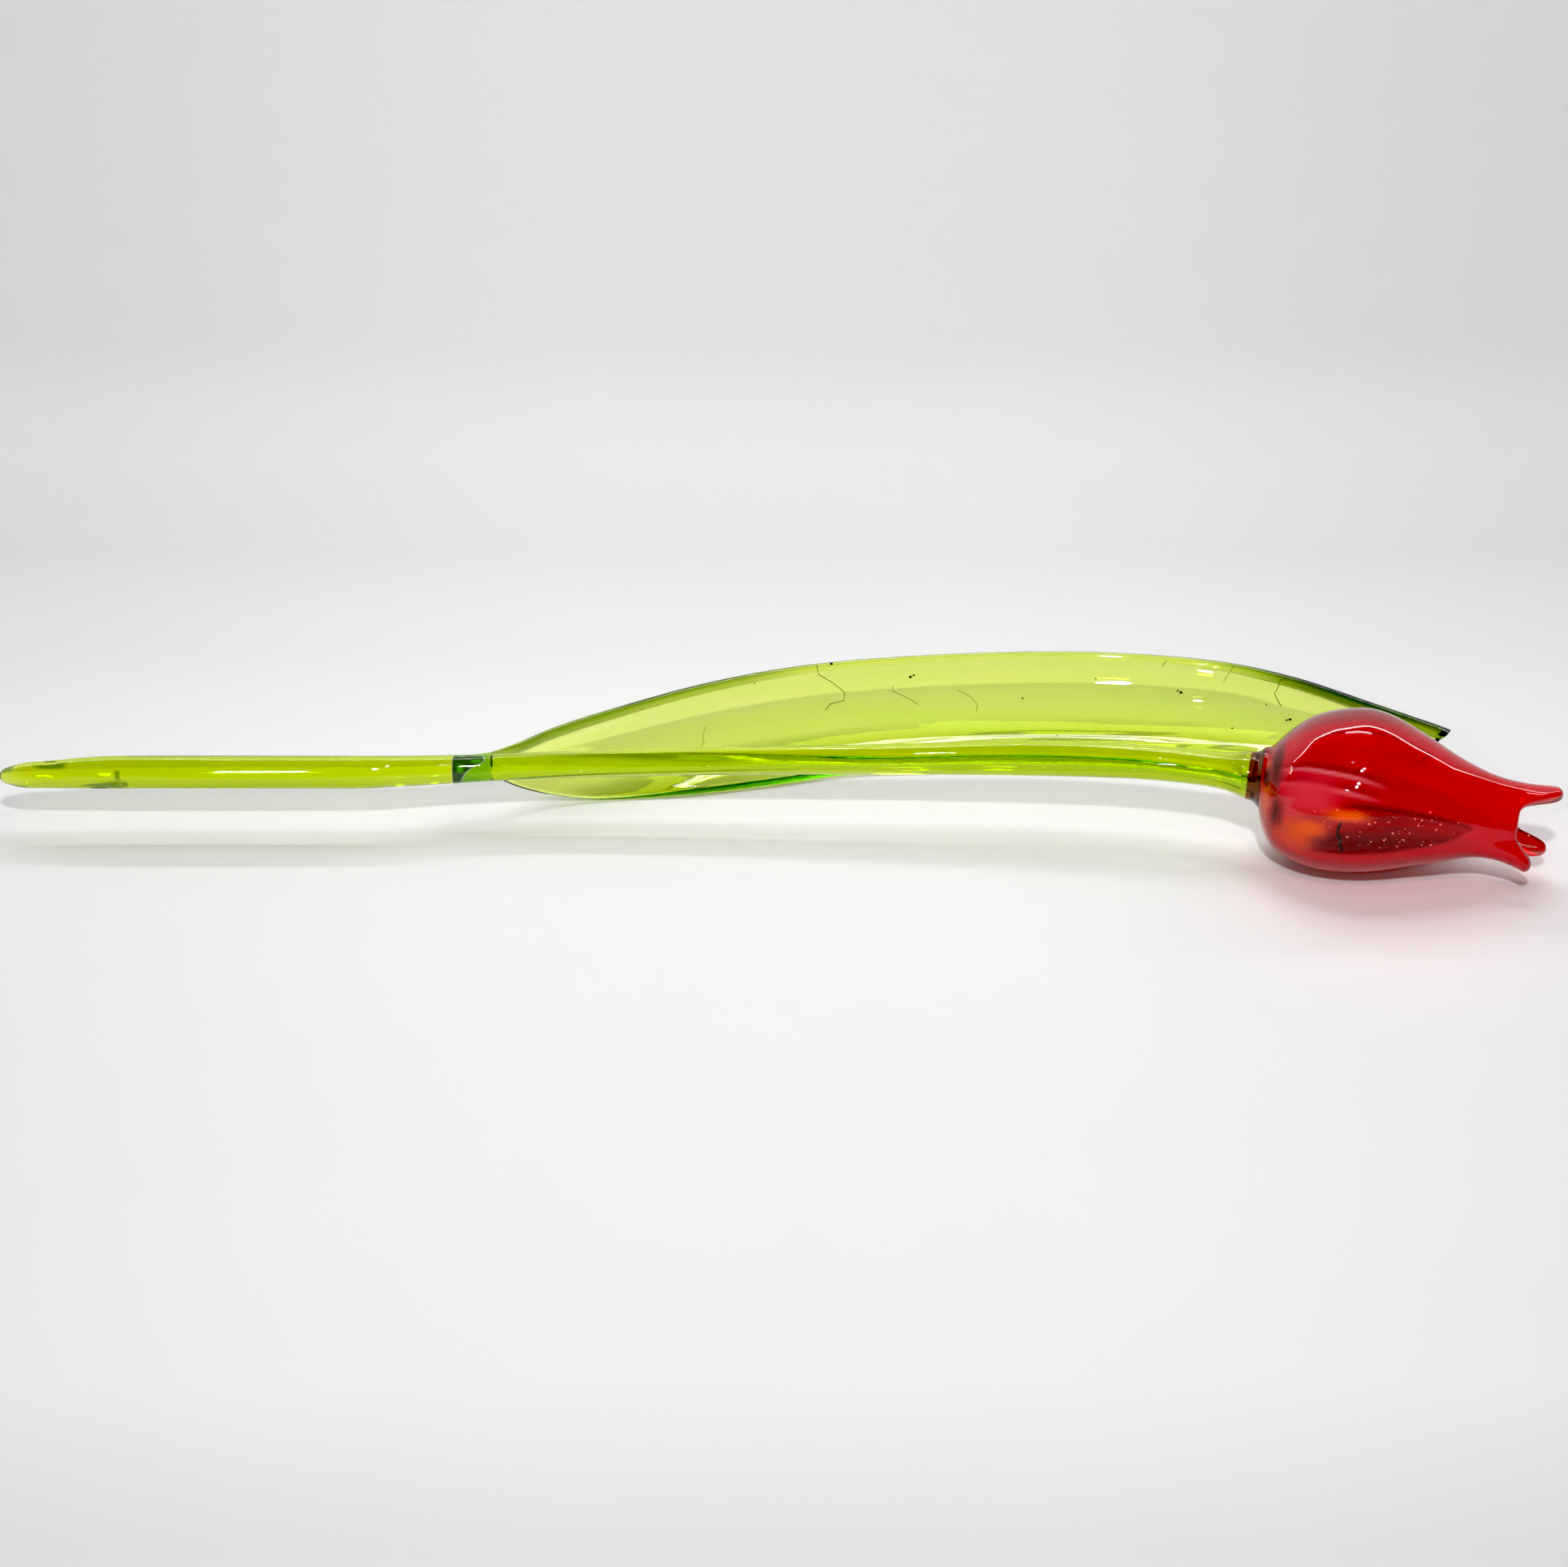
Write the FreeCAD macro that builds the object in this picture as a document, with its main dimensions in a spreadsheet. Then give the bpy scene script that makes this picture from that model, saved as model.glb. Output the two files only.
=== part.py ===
import FreeCAD, Part
import math
import os

# A glass tulip lying on a table: blown hollow bloom, joining collar, drawn stem, leaf and leaf root.
# +X runs from the stem's free end to the bloom, +Z is up, and the front of the flower faces -Y.

SHEET_NAME = "Sizes"

SIZES = (
    ("shank_radius", 5.4, "straight stretch that fits a vase neck or a drilled block"),
    ("shank_start", 40.0, "free end to the straight stretch"),
    ("shank_length", 78.0, "length of the straight stretch"),
    ("drawn_length", 287.4, "end of the straight stretch to the collar, along X"),
    ("shank_height", 22.14, "axis of the straight stretch above the table"),
    ("shank_back", -16.54, "axis of the straight stretch behind the origin, so it lies in front"),
    ("tip_reach", 251.54, "origin to the stem's free end"),
    ("drawn_radius", 4.4, "thinnest drawn stretch of the stem"),
    ("stem_sway", 12.6, "how far the drawn stem ends in front of its straight stretch"),
    ("stem_rise", 6.1, "how far the drawn stem ends above its straight stretch"),
    ("stem_flare_radius", 7.8, "end of the stem at the collar"),
    ("bloom_yaw", 12.1, "turn of the bloom towards the front, degrees"),
    ("bloom_pitch", 2.2, "drop of the bloom's axis, degrees"),
    ("collar_length", 4.4, "thickness of the joining collar"),
    ("collar_radius", 10.0, "collar where it meets the bloom"),
    ("collar_waist", 0.8, "hollow of the collar's flared side"),
    ("bloom_length", 80.5, "base of the bloom to the rim between the lips"),
    ("bloom_radius", 26.65, "widest part of the bloom"),
    ("bloom_wall", 5.6, "glass near the base, thinner towards the rim"),
    ("bloom_rim_wall", 2.6, "glass at the rim"),
    ("bloom_base_wall", 5.5, "solid glass behind the cavity"),
    ("cavity_lift", 1.2, "cavity above the middle of the glass, which sagged while hot"),
    ("crease_depth", 0.8, "deepest groove pressed along the bloom"),
    ("top_lip_reach", 12.2, "upper lip beyond the rim"),
    ("top_lip_flare", 0.6, "upper lip outwards"),
    ("front_lip_reach", 5.2, "front lip beyond the rim"),
    ("front_lip_flare", 4.6, "front lip outwards"),
    ("back_lip_reach", 9.8, "back lip beyond the rim"),
    ("back_lip_flare", 2.2, "back lip outwards"),
    ("lip_bead", 1.4, "extra glass gathered at the ends of the lips"),
    ("root_start", 147.4, "free end to the leaf root, along X"),
    ("root_length", 12.0, "leaf root along the stem"),
    ("leaf_length", 316.3, "end of the root to the sheared tip, along X"),
    ("leaf_height", 24.6, "highest line of the leaf above the table"),
    ("leaf_spread", 78.4, "shank axis to the leaf's farthest edge"),
    ("leaf_curl", 37.0, "radius of the leaf's trough"),
    ("leaf_thickness", 2.6, "glass of the leaf"),
    ("leaf_roll", 1.2, "extra glass each side of the rolled upper edge"),
    ("leaf_roll_width", 3.0, "rolled edge, from its crown down to the flat glass"),
    ("leaf_shear", 4.5, "slant of the sheared tip"),
)

# Tip of the stem: along (share of shank_start), radius and drop (shares of shank_radius)
TIP_SHARES = (
    (0.0, 0.17, 0.24),
    (0.03, 0.40, 0.24),
    (0.09, 0.56, 0.23),
    (0.16, 0.70, 0.22),
    (0.24, 0.79, 0.19),
    (0.42, 0.84, 0.15),
    (0.62, 0.92, 0.07),
    (0.82, 0.98, 0.02),
    (1.0, 1.0, 0.0),
)

# Drawn stem from the shank to the collar: along (share of the remaining length), radius
# (share of drawn_radius), sway to the front (share of stem_sway), rise (share of stem_rise)
# and turn (share of the bloom's turn)
DRAWN_SHARES = (
    (0.030, 1.17, -0.05, -0.02, 0.0),
    (0.086, 1.09, -0.25, -0.15, 0.0),
    (0.141, 1.01, -0.37, -0.16, 0.0),
    (0.234, 1.00, -0.49, -0.10, 0.0),
    (0.387, 1.03, -0.46, 0.13, 0.0),
    (0.475, 1.05, -0.40, 0.27, 0.0),
    (0.608, 1.15, -0.29, 0.48, 0.0),
    (0.748, 1.31, -0.15, 0.70, 0.3),
    (0.873, 1.29, 0.17, 0.87, 0.6),
    (0.944, 1.26, 0.54, 0.93, 0.9),
    (0.975, 1.36, 0.77, 0.97, 1.0),
    (0.990, 1.57, 0.90, 0.99, 1.0),
)

# Outer wall of the bloom: along (share of bloom_length), radius and drop of the ring's centre
# (shares of bloom_radius)
BLOOM_SHARES = (
    (0.018, 0.478, 0.105),
    (0.050, 0.619, 0.140),
    (0.082, 0.724, 0.135),
    (0.138, 0.841, 0.098),
    (0.190, 0.916, 0.071),
    (0.270, 0.979, 0.041),
    (0.385, 1.000, 0.0),
    (0.491, 0.940, 0.0),
    (0.632, 0.785, 0.035),
    (0.732, 0.668, 0.067),
    (0.857, 0.505, 0.105),
    (0.930, 0.450, 0.115),
    (1.0, 0.432, 0.118),
)

# Rings of the cavity, as shares of bloom_length, from its bottom to the rim
CAVITY_SHARES = (0.138, 0.190, 0.270, 0.385, 0.491, 0.632, 0.732, 0.857, 0.93, 0.985)

# Round of the rim: inset and push past the rim, as shares of the wall there
RIM_SHARES = ((0.15, 0.36), (0.5, 0.5), (0.85, 0.36))

# Lips of the bloom: turn from the top towards the front, width (both degrees) and size names
LIPS = (
    (-10.0, 33.0, "top_lip_reach", "top_lip_flare"),
    (125.0, 21.0, "front_lip_reach", "front_lip_flare"),
    (202.0, 20.0, "back_lip_reach", "back_lip_flare"),
)
LIP_START_SHARE = 0.74
LIP_SQUARENESS = 3
RING_POINTS = 36
ROLL_LEAST_SHARE = 0.4

# Grooves that wind along the bloom: first and last turn and width (degrees), first and last
# share of bloom_length, depth as a share of crease_depth
CREASE_SHARES = (
    (33.0, 60.0, 8.0, 0.03, 0.54, 1.0),
    (74.0, 67.0, 8.0, 0.04, 0.52, 0.7),
)

# Sections of the leaf root: along (share of root_length), then as in LEAF_SHARES
ROOT_SHARES = (
    (0.0, 0.102, 0.650, 0.133, 0.821, 1.30, 0.1),
    (0.5, 0.115, 0.659, 0.135, 0.854, 1.20, 0.1),
    (1.0, 0.130, 0.675, 0.139, 0.894, 1.0, 0.1),
)

# Sections of the leaf: along (share of leaf_length), lower edge back and up, upper edge back
# and up (shares of leaf_spread and leaf_height), thickness (share of leaf_thickness) and roll
# of the upper edge (share of leaf_roll)
LEAF_SHARES = (
    (0.0, 0.130, 0.675, 0.139, 0.894, 1.0, 0.1),
    (0.028, 0.165, 0.431, 0.198, 0.935, 1.10, 0.3),
    (0.060, 0.218, 0.220, 0.304, 0.959, 1.10, 0.5),
    (0.111, 0.257, 0.0675, 0.434, 0.992, 1.0, 0.65),
    (0.204, 0.305, 0.0637, 0.656, 1.000, 1.0, 0.65),
    (0.289, 0.382, 0.0637, 0.806, 1.000, 1.0, 0.5),
    (0.375, 0.473, 0.0657, 0.903, 0.992, 1.0, 0.35),
    (0.508, 0.508, 0.076, 0.980, 0.976, 1.0, 0.2),
    (0.639, 0.508, 0.080, 0.996, 0.967, 1.0, 0.2),
    (0.769, 0.492, 0.110, 0.920, 0.962, 1.0, 0.5),
    (0.852, 0.457, 0.203, 0.775, 0.950, 1.05, 0.9),
    (0.931, 0.386, 0.386, 0.530, 0.950, 1.15, 1.0),
    (1.0, 0.307, 0.671, 0.335, 0.900, 1.25, 1.0),
)

# Sections that the leaf is drawn through, closer where it bends
LEAF_PLACES = (
    0, 0.014, 0.028, 0.044, 0.06, 0.085, 0.111, 0.155, 0.204, 0.289, 0.375, 0.508, 0.639, 0.769, 0.852,
    0.9, 0.931, 0.965, 1,
)


def add_sheet(doc):
    """Write every driving size into the spreadsheet, one named cell each."""
    sheet = doc.addObject("Spreadsheet::Sheet", SHEET_NAME)
    for row, (name, value, note) in enumerate(SIZES, start=1):
        sheet.set(f"A{row}", name)
        sheet.set(f"B{row}", str(value))
        sheet.set(f"C{row}", note)
        sheet.setAlias(f"B{row}", name)
    doc.recompute()
    return sheet


def bloom_turn(sheet):
    """Rotation that takes +X to the bloom's axis, with +Z kept as its top."""
    yaw = FreeCAD.Rotation(FreeCAD.Vector(0, 0, 1), -sheet.bloom_yaw)
    pitch = FreeCAD.Rotation(FreeCAD.Vector(0, 1, 0), sheet.bloom_pitch)
    return yaw.multiply(pitch)


def stem_end(sheet):
    """Centre of the stem's end face at the collar."""
    return FreeCAD.Vector(
        sheet.shank_start + sheet.shank_length + sheet.drawn_length - sheet.tip_reach,
        sheet.shank_back - sheet.stem_sway,
        sheet.shank_height + sheet.stem_rise,
    )


def bloom_base(sheet):
    """Centre of the collar's far face, where the bloom starts."""
    return stem_end(sheet) + bloom_turn(sheet).multVec(FreeCAD.Vector(sheet.collar_length, 0, 0))


def add_ring(doc, name, radius, centre, turn_share):
    """Circle across the stem, its size and place bound to the sheet."""
    ring = doc.addObject("Part::Circle", name)
    ring.setExpression("Radius", radius)
    across = FreeCAD.Rotation(FreeCAD.Vector(0, 1, 0), 90)
    turned = FreeCAD.Rotation().slerp(bloom_turn(doc.getObject(SHEET_NAME)), turn_share)
    ring.Placement = FreeCAD.Placement(FreeCAD.Vector(), turned.multiply(across))
    for axis, place in zip("xyz", centre):
        ring.setExpression(f"Placement.Base.{axis}", place)
    return ring


def tip_rings(doc):
    """Rings of the tapered free end of the stem."""
    rings = []
    for index, (along, radius, drop) in enumerate(TIP_SHARES, start=1):
        centre = (
            f"{SHEET_NAME}.shank_start * {along} - {SHEET_NAME}.tip_reach",
            f"{SHEET_NAME}.shank_back",
            f"{SHEET_NAME}.shank_height - {SHEET_NAME}.shank_radius * {drop}",
        )
        rings.append(add_ring(doc, f"tip_ring_{index}", f"{SHEET_NAME}.shank_radius * {radius}", centre, 0))
    return rings


def shank_cylinder(doc):
    """True cylinder along X between the tip and the drawn stretch."""
    shank = doc.addObject("Part::Cylinder", "shank")
    shank.setExpression("Radius", f"{SHEET_NAME}.shank_radius")
    shank.setExpression("Height", f"{SHEET_NAME}.shank_length")
    shank.Placement = FreeCAD.Placement(FreeCAD.Vector(), FreeCAD.Rotation(FreeCAD.Vector(0, 1, 0), 90))
    shank.setExpression("Placement.Base.x", f"{SHEET_NAME}.shank_start - {SHEET_NAME}.tip_reach")
    shank.setExpression("Placement.Base.y", f"{SHEET_NAME}.shank_back")
    shank.setExpression("Placement.Base.z", f"{SHEET_NAME}.shank_height")
    return shank


def drawn_rings(doc):
    """Rings of the drawn stretch, from the shank's end to the flare at the collar."""
    s = SHEET_NAME
    shank_end = f"{s}.shank_start + {s}.shank_length - {s}.tip_reach"
    start = (shank_end, f"{s}.shank_back", f"{s}.shank_height")
    rings = [add_ring(doc, "drawn_ring_1", f"{s}.shank_radius", start, 0)]
    for index, (along, radius, sway, rise, turn) in enumerate(DRAWN_SHARES, start=2):
        centre = (
            f"{shank_end} + {s}.drawn_length * {along}",
            f"{s}.shank_back - {s}.stem_sway * {sway}",
            f"{s}.shank_height + {s}.stem_rise * {rise}",
        )
        rings.append(add_ring(doc, f"drawn_ring_{index}", f"{s}.drawn_radius * {radius}", centre, turn))
    end = (
        f"{shank_end} + {s}.drawn_length",
        f"{s}.shank_back - {s}.stem_sway",
        f"{s}.shank_height + {s}.stem_rise",
    )
    rings.append(add_ring(doc, f"drawn_ring_{len(rings) + 1}", f"{s}.stem_flare_radius", end, 1))
    return rings


def add_loft(doc, name, sections):
    """Solid through a row of closed sections."""
    loft = doc.addObject("Part::Loft", name)
    loft.Sections = sections
    loft.Solid = True
    loft.Ruled = True
    return loft


def build_stem(doc):
    """Stem: tapered tip, true cylinder and drawn stretch, fused into one rod."""
    stem = doc.addObject("Part::MultiFuse", "stem_rod")
    stem.Shapes = [
        add_loft(doc, "stem_tip", tip_rings(doc)),
        shank_cylinder(doc),
        add_loft(doc, "stem_drawn", drawn_rings(doc)),
    ]
    return stem


def build_collar(doc, sheet):
    """Collar: a flared disc turned about the bloom's axis, flat on both faces."""
    body = doc.addObject("PartDesign::Body", "joining_collar")
    sketch = body.newObject("Sketcher::SketchObject", "collar_outline")
    plane = next(item for item in body.Origin.OriginFeatures if item.Role == "XZ_Plane")
    sketch.AttachmentSupport = [(plane, "")]
    sketch.MapMode = "FlatFace"
    near = FreeCAD.Vector(0, sheet.stem_flare_radius, 0)
    far = FreeCAD.Vector(sheet.collar_length, sheet.collar_radius, 0)
    waist = (near + far) * 0.5 + FreeCAD.Vector(0, -sheet.collar_waist, 0)
    axis_near = FreeCAD.Vector(0, 0, 0)
    axis_far = FreeCAD.Vector(sheet.collar_length, 0, 0)
    sketch.addGeometry(Part.LineSegment(axis_near, axis_far), False)
    sketch.addGeometry(Part.LineSegment(axis_far, far), False)
    sketch.addGeometry(Part.Arc(far, waist, near), False)
    sketch.addGeometry(Part.LineSegment(near, axis_near), False)
    turned = body.newObject("PartDesign::Revolution", "collar_turned")
    turned.Profile = sketch
    turned.ReferenceAxis = (sketch, ["H_Axis"])
    turned.Angle = 360
    body.Placement = FreeCAD.Placement(stem_end(sheet), bloom_turn(sheet))
    return body


def wave(turn, centre, width, squareness=2):
    """Bump that is 1 at its centre and falls to nothing past its width, on a full turn."""
    away = (turn - centre + 180) % 360 - 180
    return math.exp(-(abs(away / width) ** squareness))


def lip_shift(sheet, turn, along):
    """How far the lips pull one ring of the bloom forwards and outwards, and thicken it."""
    grow = max(0, (along - LIP_START_SHARE) / (1 - LIP_START_SHARE))
    reach = 0
    flare = 0
    bead = 0
    for centre, width, reach_name, flare_name in LIPS:
        pull = wave(turn, centre, width, LIP_SQUARENESS)
        reach += getattr(sheet, reach_name) * pull * grow ** 1.5
        flare += getattr(sheet, flare_name) * pull * grow ** 2.5
        bead += sheet.lip_bead * pull * grow ** 4
    return reach, flare, bead


def crease_cut(sheet, turn, along):
    """Depth of the pressed grooves that wind from the base towards the mouth."""
    cut = 0
    for start, end, width, first, last, depth in CREASE_SHARES:
        progress = (along - first) / (last - first)
        if 0 < progress < 1:
            centre = start + (end - start) * progress ** 0.7
            cut += sheet.crease_depth * depth * math.sin(math.pi * progress) * wave(turn, centre, width)
    return cut


def slope_at(table, index, column):
    """Slope of a table's column at one of its rows, from the rows beside it."""
    before = table[max(index - 1, 0)]
    after = table[min(index + 1, len(table) - 1)]
    return (after[column] - before[column]) / (after[0] - before[0])


def between(table, along, column):
    """Value of a table's column at any share, on a smooth curve through the table's rows."""
    if along <= table[0][0]:
        return table[0][column]
    if along >= table[-1][0]:
        return table[-1][column]
    index = next(place for place in range(len(table) - 1) if along <= table[place + 1][0])
    low = table[index]
    high = table[index + 1]
    span = high[0] - low[0]
    part = (along - low[0]) / span
    start = low[column]
    rise = high[column] - start
    enter = slope_at(table, index, column) * span - rise
    leave = rise - slope_at(table, index + 1, column) * span
    return start + rise * part + part * (1 - part) * (enter * (1 - part) + leave * part)


def with_middles(places):
    """The same places with one more halfway between each two."""
    middles = [(low + high) / 2 for low, high in zip(places, places[1:])]
    return sorted([*places, *middles])


def cavity_rise(sheet, along):
    """How far the cavity lies above the middle of the glass at one share of the length."""
    return sheet.cavity_lift * math.sin(math.pi * along) ** 2


def wall_at(sheet, along):
    """Glass thickness, thinner towards the rim."""
    return sheet.bloom_wall + (sheet.bloom_rim_wall - sheet.bloom_wall) * along


def closed_curve(points):
    """Smooth closed curve whose points sit at even steps, so that rings match when lofted."""
    steps = [index / len(points) for index in range(len(points) + 1)]
    curve = Part.BSplineCurve()
    curve.interpolate(Points=points, PeriodicFlag=True, Parameters=steps)
    return Part.Wire([curve.toShape()])


def bloom_ring(sheet, along, inset_share, push_share=0):
    """Closed ring of the bloom, set in from its outer wall and pushed past its rim."""
    radius = sheet.bloom_radius * between(BLOOM_SHARES, along, 1)
    drop = sheet.bloom_radius * between(BLOOM_SHARES, along, 2)
    drop -= cavity_rise(sheet, along) * inset_share
    points = []
    for index in range(RING_POINTS):
        turn = 360 * index / RING_POINTS
        reach, flare, bead = lip_shift(sheet, turn, along)
        wall = wall_at(sheet, along) + bead
        groove = crease_cut(sheet, turn, along) * (1 - inset_share * 0.5)
        out = radius + flare + bead * 0.5 - wall * inset_share - groove
        angle = math.radians(turn)
        points.append(
            FreeCAD.Vector(
                sheet.bloom_length * along + reach + wall * push_share,
                -out * math.sin(angle),
                out * math.cos(angle) - drop,
            )
        )
    return closed_curve(points)


def flat_ring(radius, along, drop):
    """Plain round ring across the bloom's axis."""
    angles = [2 * math.pi * index / RING_POINTS for index in range(RING_POINTS)]
    return closed_curve(
        [FreeCAD.Vector(along, -radius * math.sin(turn), radius * math.cos(turn) - drop) for turn in angles]
    )


def build_bloom(doc, sheet):
    """Bloom: blown hollow cup, creased along one side, its rim pulled out into three lips."""
    outer = [flat_ring(sheet.collar_radius, 0, 0)]
    outer += [bloom_ring(sheet, along, 0) for along in with_middles([row[0] for row in BLOOM_SHARES])]
    lip = [outer[-1]]
    lip += [bloom_ring(sheet, 1, inset, push) for inset, push in RIM_SHARES]
    lip.append(bloom_ring(sheet, 1, 1))
    inner = [lip[-1]]
    inner += [bloom_ring(sheet, along, 1) for along in reversed(with_middles(CAVITY_SHARES))]
    deepest = CAVITY_SHARES[0]
    pit_drop = sheet.bloom_radius * between(BLOOM_SHARES, deepest, 2) - cavity_rise(sheet, deepest)
    inner.append(flat_ring(sheet.collar_radius, sheet.bloom_base_wall, pit_drop))
    faces = []
    for rings in (outer, lip, inner):
        faces += Part.makeLoft(rings, False, True).Faces
    faces.append(Part.Face(outer[0]))
    faces.append(Part.Face(inner[-1]))
    shell = Part.makeShell(faces)
    shell.sewShape()
    bloom = doc.addObject("Part::Feature", "bloom_cup")
    bloom.Shape = Part.makeSolid(shell)
    bloom.Placement = FreeCAD.Placement(bloom_base(sheet), bloom_turn(sheet))
    return bloom


def leaf_edges(sheet, x, row):
    """Middle of the glass at the lower and the upper edge of one leaf section."""
    low_back, low_up, high_back, high_up = row[1:5]
    low = FreeCAD.Vector(x, sheet.shank_back + sheet.leaf_spread * low_back, sheet.leaf_height * low_up)
    high = FreeCAD.Vector(x, sheet.shank_back + sheet.leaf_spread * high_back, sheet.leaf_height * high_up)
    return low, high


def leaf_section(sheet, x, row, lean=0):
    """Closed band across the leaf: a shallow trough, its foot rounded and its upper edge rolled."""
    low, high = leaf_edges(sheet, x, row)
    half = (high - low) * 0.5
    away = FreeCAD.Vector(0, half.z, -half.y).normalize()
    hub = (low + high) * 0.5 - away * math.sqrt(sheet.leaf_curl ** 2 - half.Length ** 2)
    edge = sheet.leaf_thickness * row[5] * 0.5
    roll = sheet.leaf_roll * row[6]

    def on_arc(radius, point):
        return hub + (point - hub).normalize() * radius

    upwards = half.normalize()
    crown = high - upwards * roll
    reach = ROLL_LEAST_SHARE + (1 - ROLL_LEAST_SHARE) * row[6]
    shoulder = high - upwards * sheet.leaf_roll_width * reach
    inside = sheet.leaf_curl - edge
    outside = sheet.leaf_curl + edge
    middle = hub + away * sheet.leaf_curl
    below = low - upwards * edge
    above = high + upwards * edge
    back = Part.Arc(on_arc(outside, low), on_arc(outside, middle), on_arc(outside, shoulder))
    rise = Part.LineSegment(on_arc(outside, shoulder), on_arc(outside + roll, crown))
    top = Part.Arc(on_arc(outside + roll, crown), above, on_arc(inside - roll, crown))
    fall = Part.LineSegment(on_arc(inside - roll, crown), on_arc(inside, shoulder))
    front = Part.Arc(on_arc(inside, shoulder), on_arc(inside, middle), on_arc(inside, low))
    foot = Part.Arc(on_arc(inside, low), below, on_arc(outside, low))
    section = Part.Wire([piece.toShape() for piece in (back, rise, top, fall, front, foot)])
    if lean:
        section.rotate(high, away, math.degrees(math.asin(lean / (high - low).Length)))
    return section


def build_root(doc, sheet, stem):
    """Leaf root: a blunt pad of glass, welded to the back of the stem by a saddle cut."""
    start = sheet.root_start - sheet.tip_reach
    rows = [leaf_section(sheet, start + sheet.root_length * row[0], row) for row in ROOT_SHARES]
    blank = doc.addObject("Part::Feature", "root_blank")
    blank.Shape = Part.makeLoft(rows, True, True)
    root = doc.addObject("Part::Cut", "leaf_root_pad")
    root.Base = blank
    root.Tool = stem
    return root


def build_leaf(doc, sheet):
    """Leaf: a long trough of glass, wide in the middle, its tip sheared off at a slant."""
    start = sheet.root_start + sheet.root_length - sheet.tip_reach
    sections = []
    for along in LEAF_PLACES:
        row = [along] + [between(LEAF_SHARES, along, column) for column in range(1, 7)]
        lean = sheet.leaf_shear if along == 1 else 0
        sections.append(leaf_section(sheet, start + sheet.leaf_length * along, row, lean))
    leaf = doc.addObject("Part::Feature", "leaf_blade")
    leaf.Shape = Part.makeLoft(sections, True, True)
    return leaf


def build_sub_parts(doc, sheet):
    """Every sub-part, in the order that a glassworker would make and join them."""
    stem = build_stem(doc)
    return (
        build_bloom(doc, sheet),
        build_collar(doc, sheet),
        stem,
        build_root(doc, sheet, stem),
        build_leaf(doc, sheet),
    )


def check_document(doc, parts):
    """Stop if a feature failed or a sub-part has no sound solid."""
    for item in doc.Objects:
        if "Invalid" in item.State or "Error" in item.State:
            raise RuntimeError(f"{item.Label} failed: {item.State}")
    for part in parts:
        if part.Shape.isNull() or not part.Shape.isValid() or not part.Shape.Solids:
            raise RuntimeError(f"{part.Label} has no valid solid")


def main():
    """Build the flower and write one file for each sub-part."""
    os.makedirs("parts", exist_ok=True)
    doc = FreeCAD.newDocument("glass_tulip")
    sheet = add_sheet(doc)
    parts = build_sub_parts(doc, sheet)
    doc.recompute()
    check_document(doc, parts)
    for part in parts:
        part.Shape.exportStep(f"parts/{part.Label}.step")
        box = part.Shape.optimalBoundingBox(False, False)
        print(
            part.Label,
            f"volume {part.Shape.Volume:.0f}",
            f"x {box.XMin:.2f} {box.XMax:.2f} y {box.YMin:.2f} {box.YMax:.2f} z {box.ZMin:.2f} {box.ZMax:.2f}",
        )


main()
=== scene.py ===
import logging
import math
import random
from dataclasses import dataclass, field
from enum import Enum
from typing import Callable, Sequence

import bmesh
import bpy
from mathutils import Matrix, Vector
from mathutils.bvhtree import BVHTree


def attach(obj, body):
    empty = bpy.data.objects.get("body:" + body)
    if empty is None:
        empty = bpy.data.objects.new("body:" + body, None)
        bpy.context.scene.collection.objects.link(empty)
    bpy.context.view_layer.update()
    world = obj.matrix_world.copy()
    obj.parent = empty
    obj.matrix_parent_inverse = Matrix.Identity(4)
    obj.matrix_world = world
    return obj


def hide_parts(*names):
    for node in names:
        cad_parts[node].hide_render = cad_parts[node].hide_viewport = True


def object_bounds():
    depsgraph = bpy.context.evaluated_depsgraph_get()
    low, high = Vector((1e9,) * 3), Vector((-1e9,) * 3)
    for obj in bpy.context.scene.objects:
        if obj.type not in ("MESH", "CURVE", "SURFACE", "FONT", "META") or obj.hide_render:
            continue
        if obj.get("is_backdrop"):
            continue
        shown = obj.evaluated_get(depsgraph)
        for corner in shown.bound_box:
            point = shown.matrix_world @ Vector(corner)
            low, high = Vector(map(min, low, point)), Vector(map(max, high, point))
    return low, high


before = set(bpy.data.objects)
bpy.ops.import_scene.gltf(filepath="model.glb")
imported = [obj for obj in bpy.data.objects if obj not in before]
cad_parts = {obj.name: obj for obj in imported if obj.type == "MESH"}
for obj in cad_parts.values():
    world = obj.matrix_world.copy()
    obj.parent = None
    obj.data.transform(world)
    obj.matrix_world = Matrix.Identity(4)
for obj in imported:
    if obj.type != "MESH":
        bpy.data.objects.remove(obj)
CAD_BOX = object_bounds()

log = logging.getLogger("glass_tulip")

MM = 0.001
IMAGE_WIDTH = 1932
IMAGE_HEIGHT = 1931
Row = Sequence[float]


class Slot(Enum):
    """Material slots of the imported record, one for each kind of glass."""

    RUBY = "ruby_glass"
    OVERLAY = "overlay_glass"
    STEM = "stem_glass"
    LEAF = "leaf_glass"


class Surface(Enum):
    """How a glass surface was made, which sets the pattern on it."""

    BLOWN = "blown"
    DRAWN = "drawn"
    PRESSED = "pressed"


def linear(hex_colour: str) -> tuple[float, float, float, float]:
    """Turn an sRGB hex colour into linear light.

    Args:
        hex_colour: six hex digits with a leading hash.

    Returns:
        Red, green, blue and an alpha of 1.
    """
    channels = []
    for start in (1, 3, 5):
        value = int(hex_colour[start : start + 2], 16) / 255
        channels.append(value / 12.92 if value <= 0.04045 else ((value + 0.055) / 1.055) ** 2.4)
    return (channels[0], channels[1], channels[2], 1.0)


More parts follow.
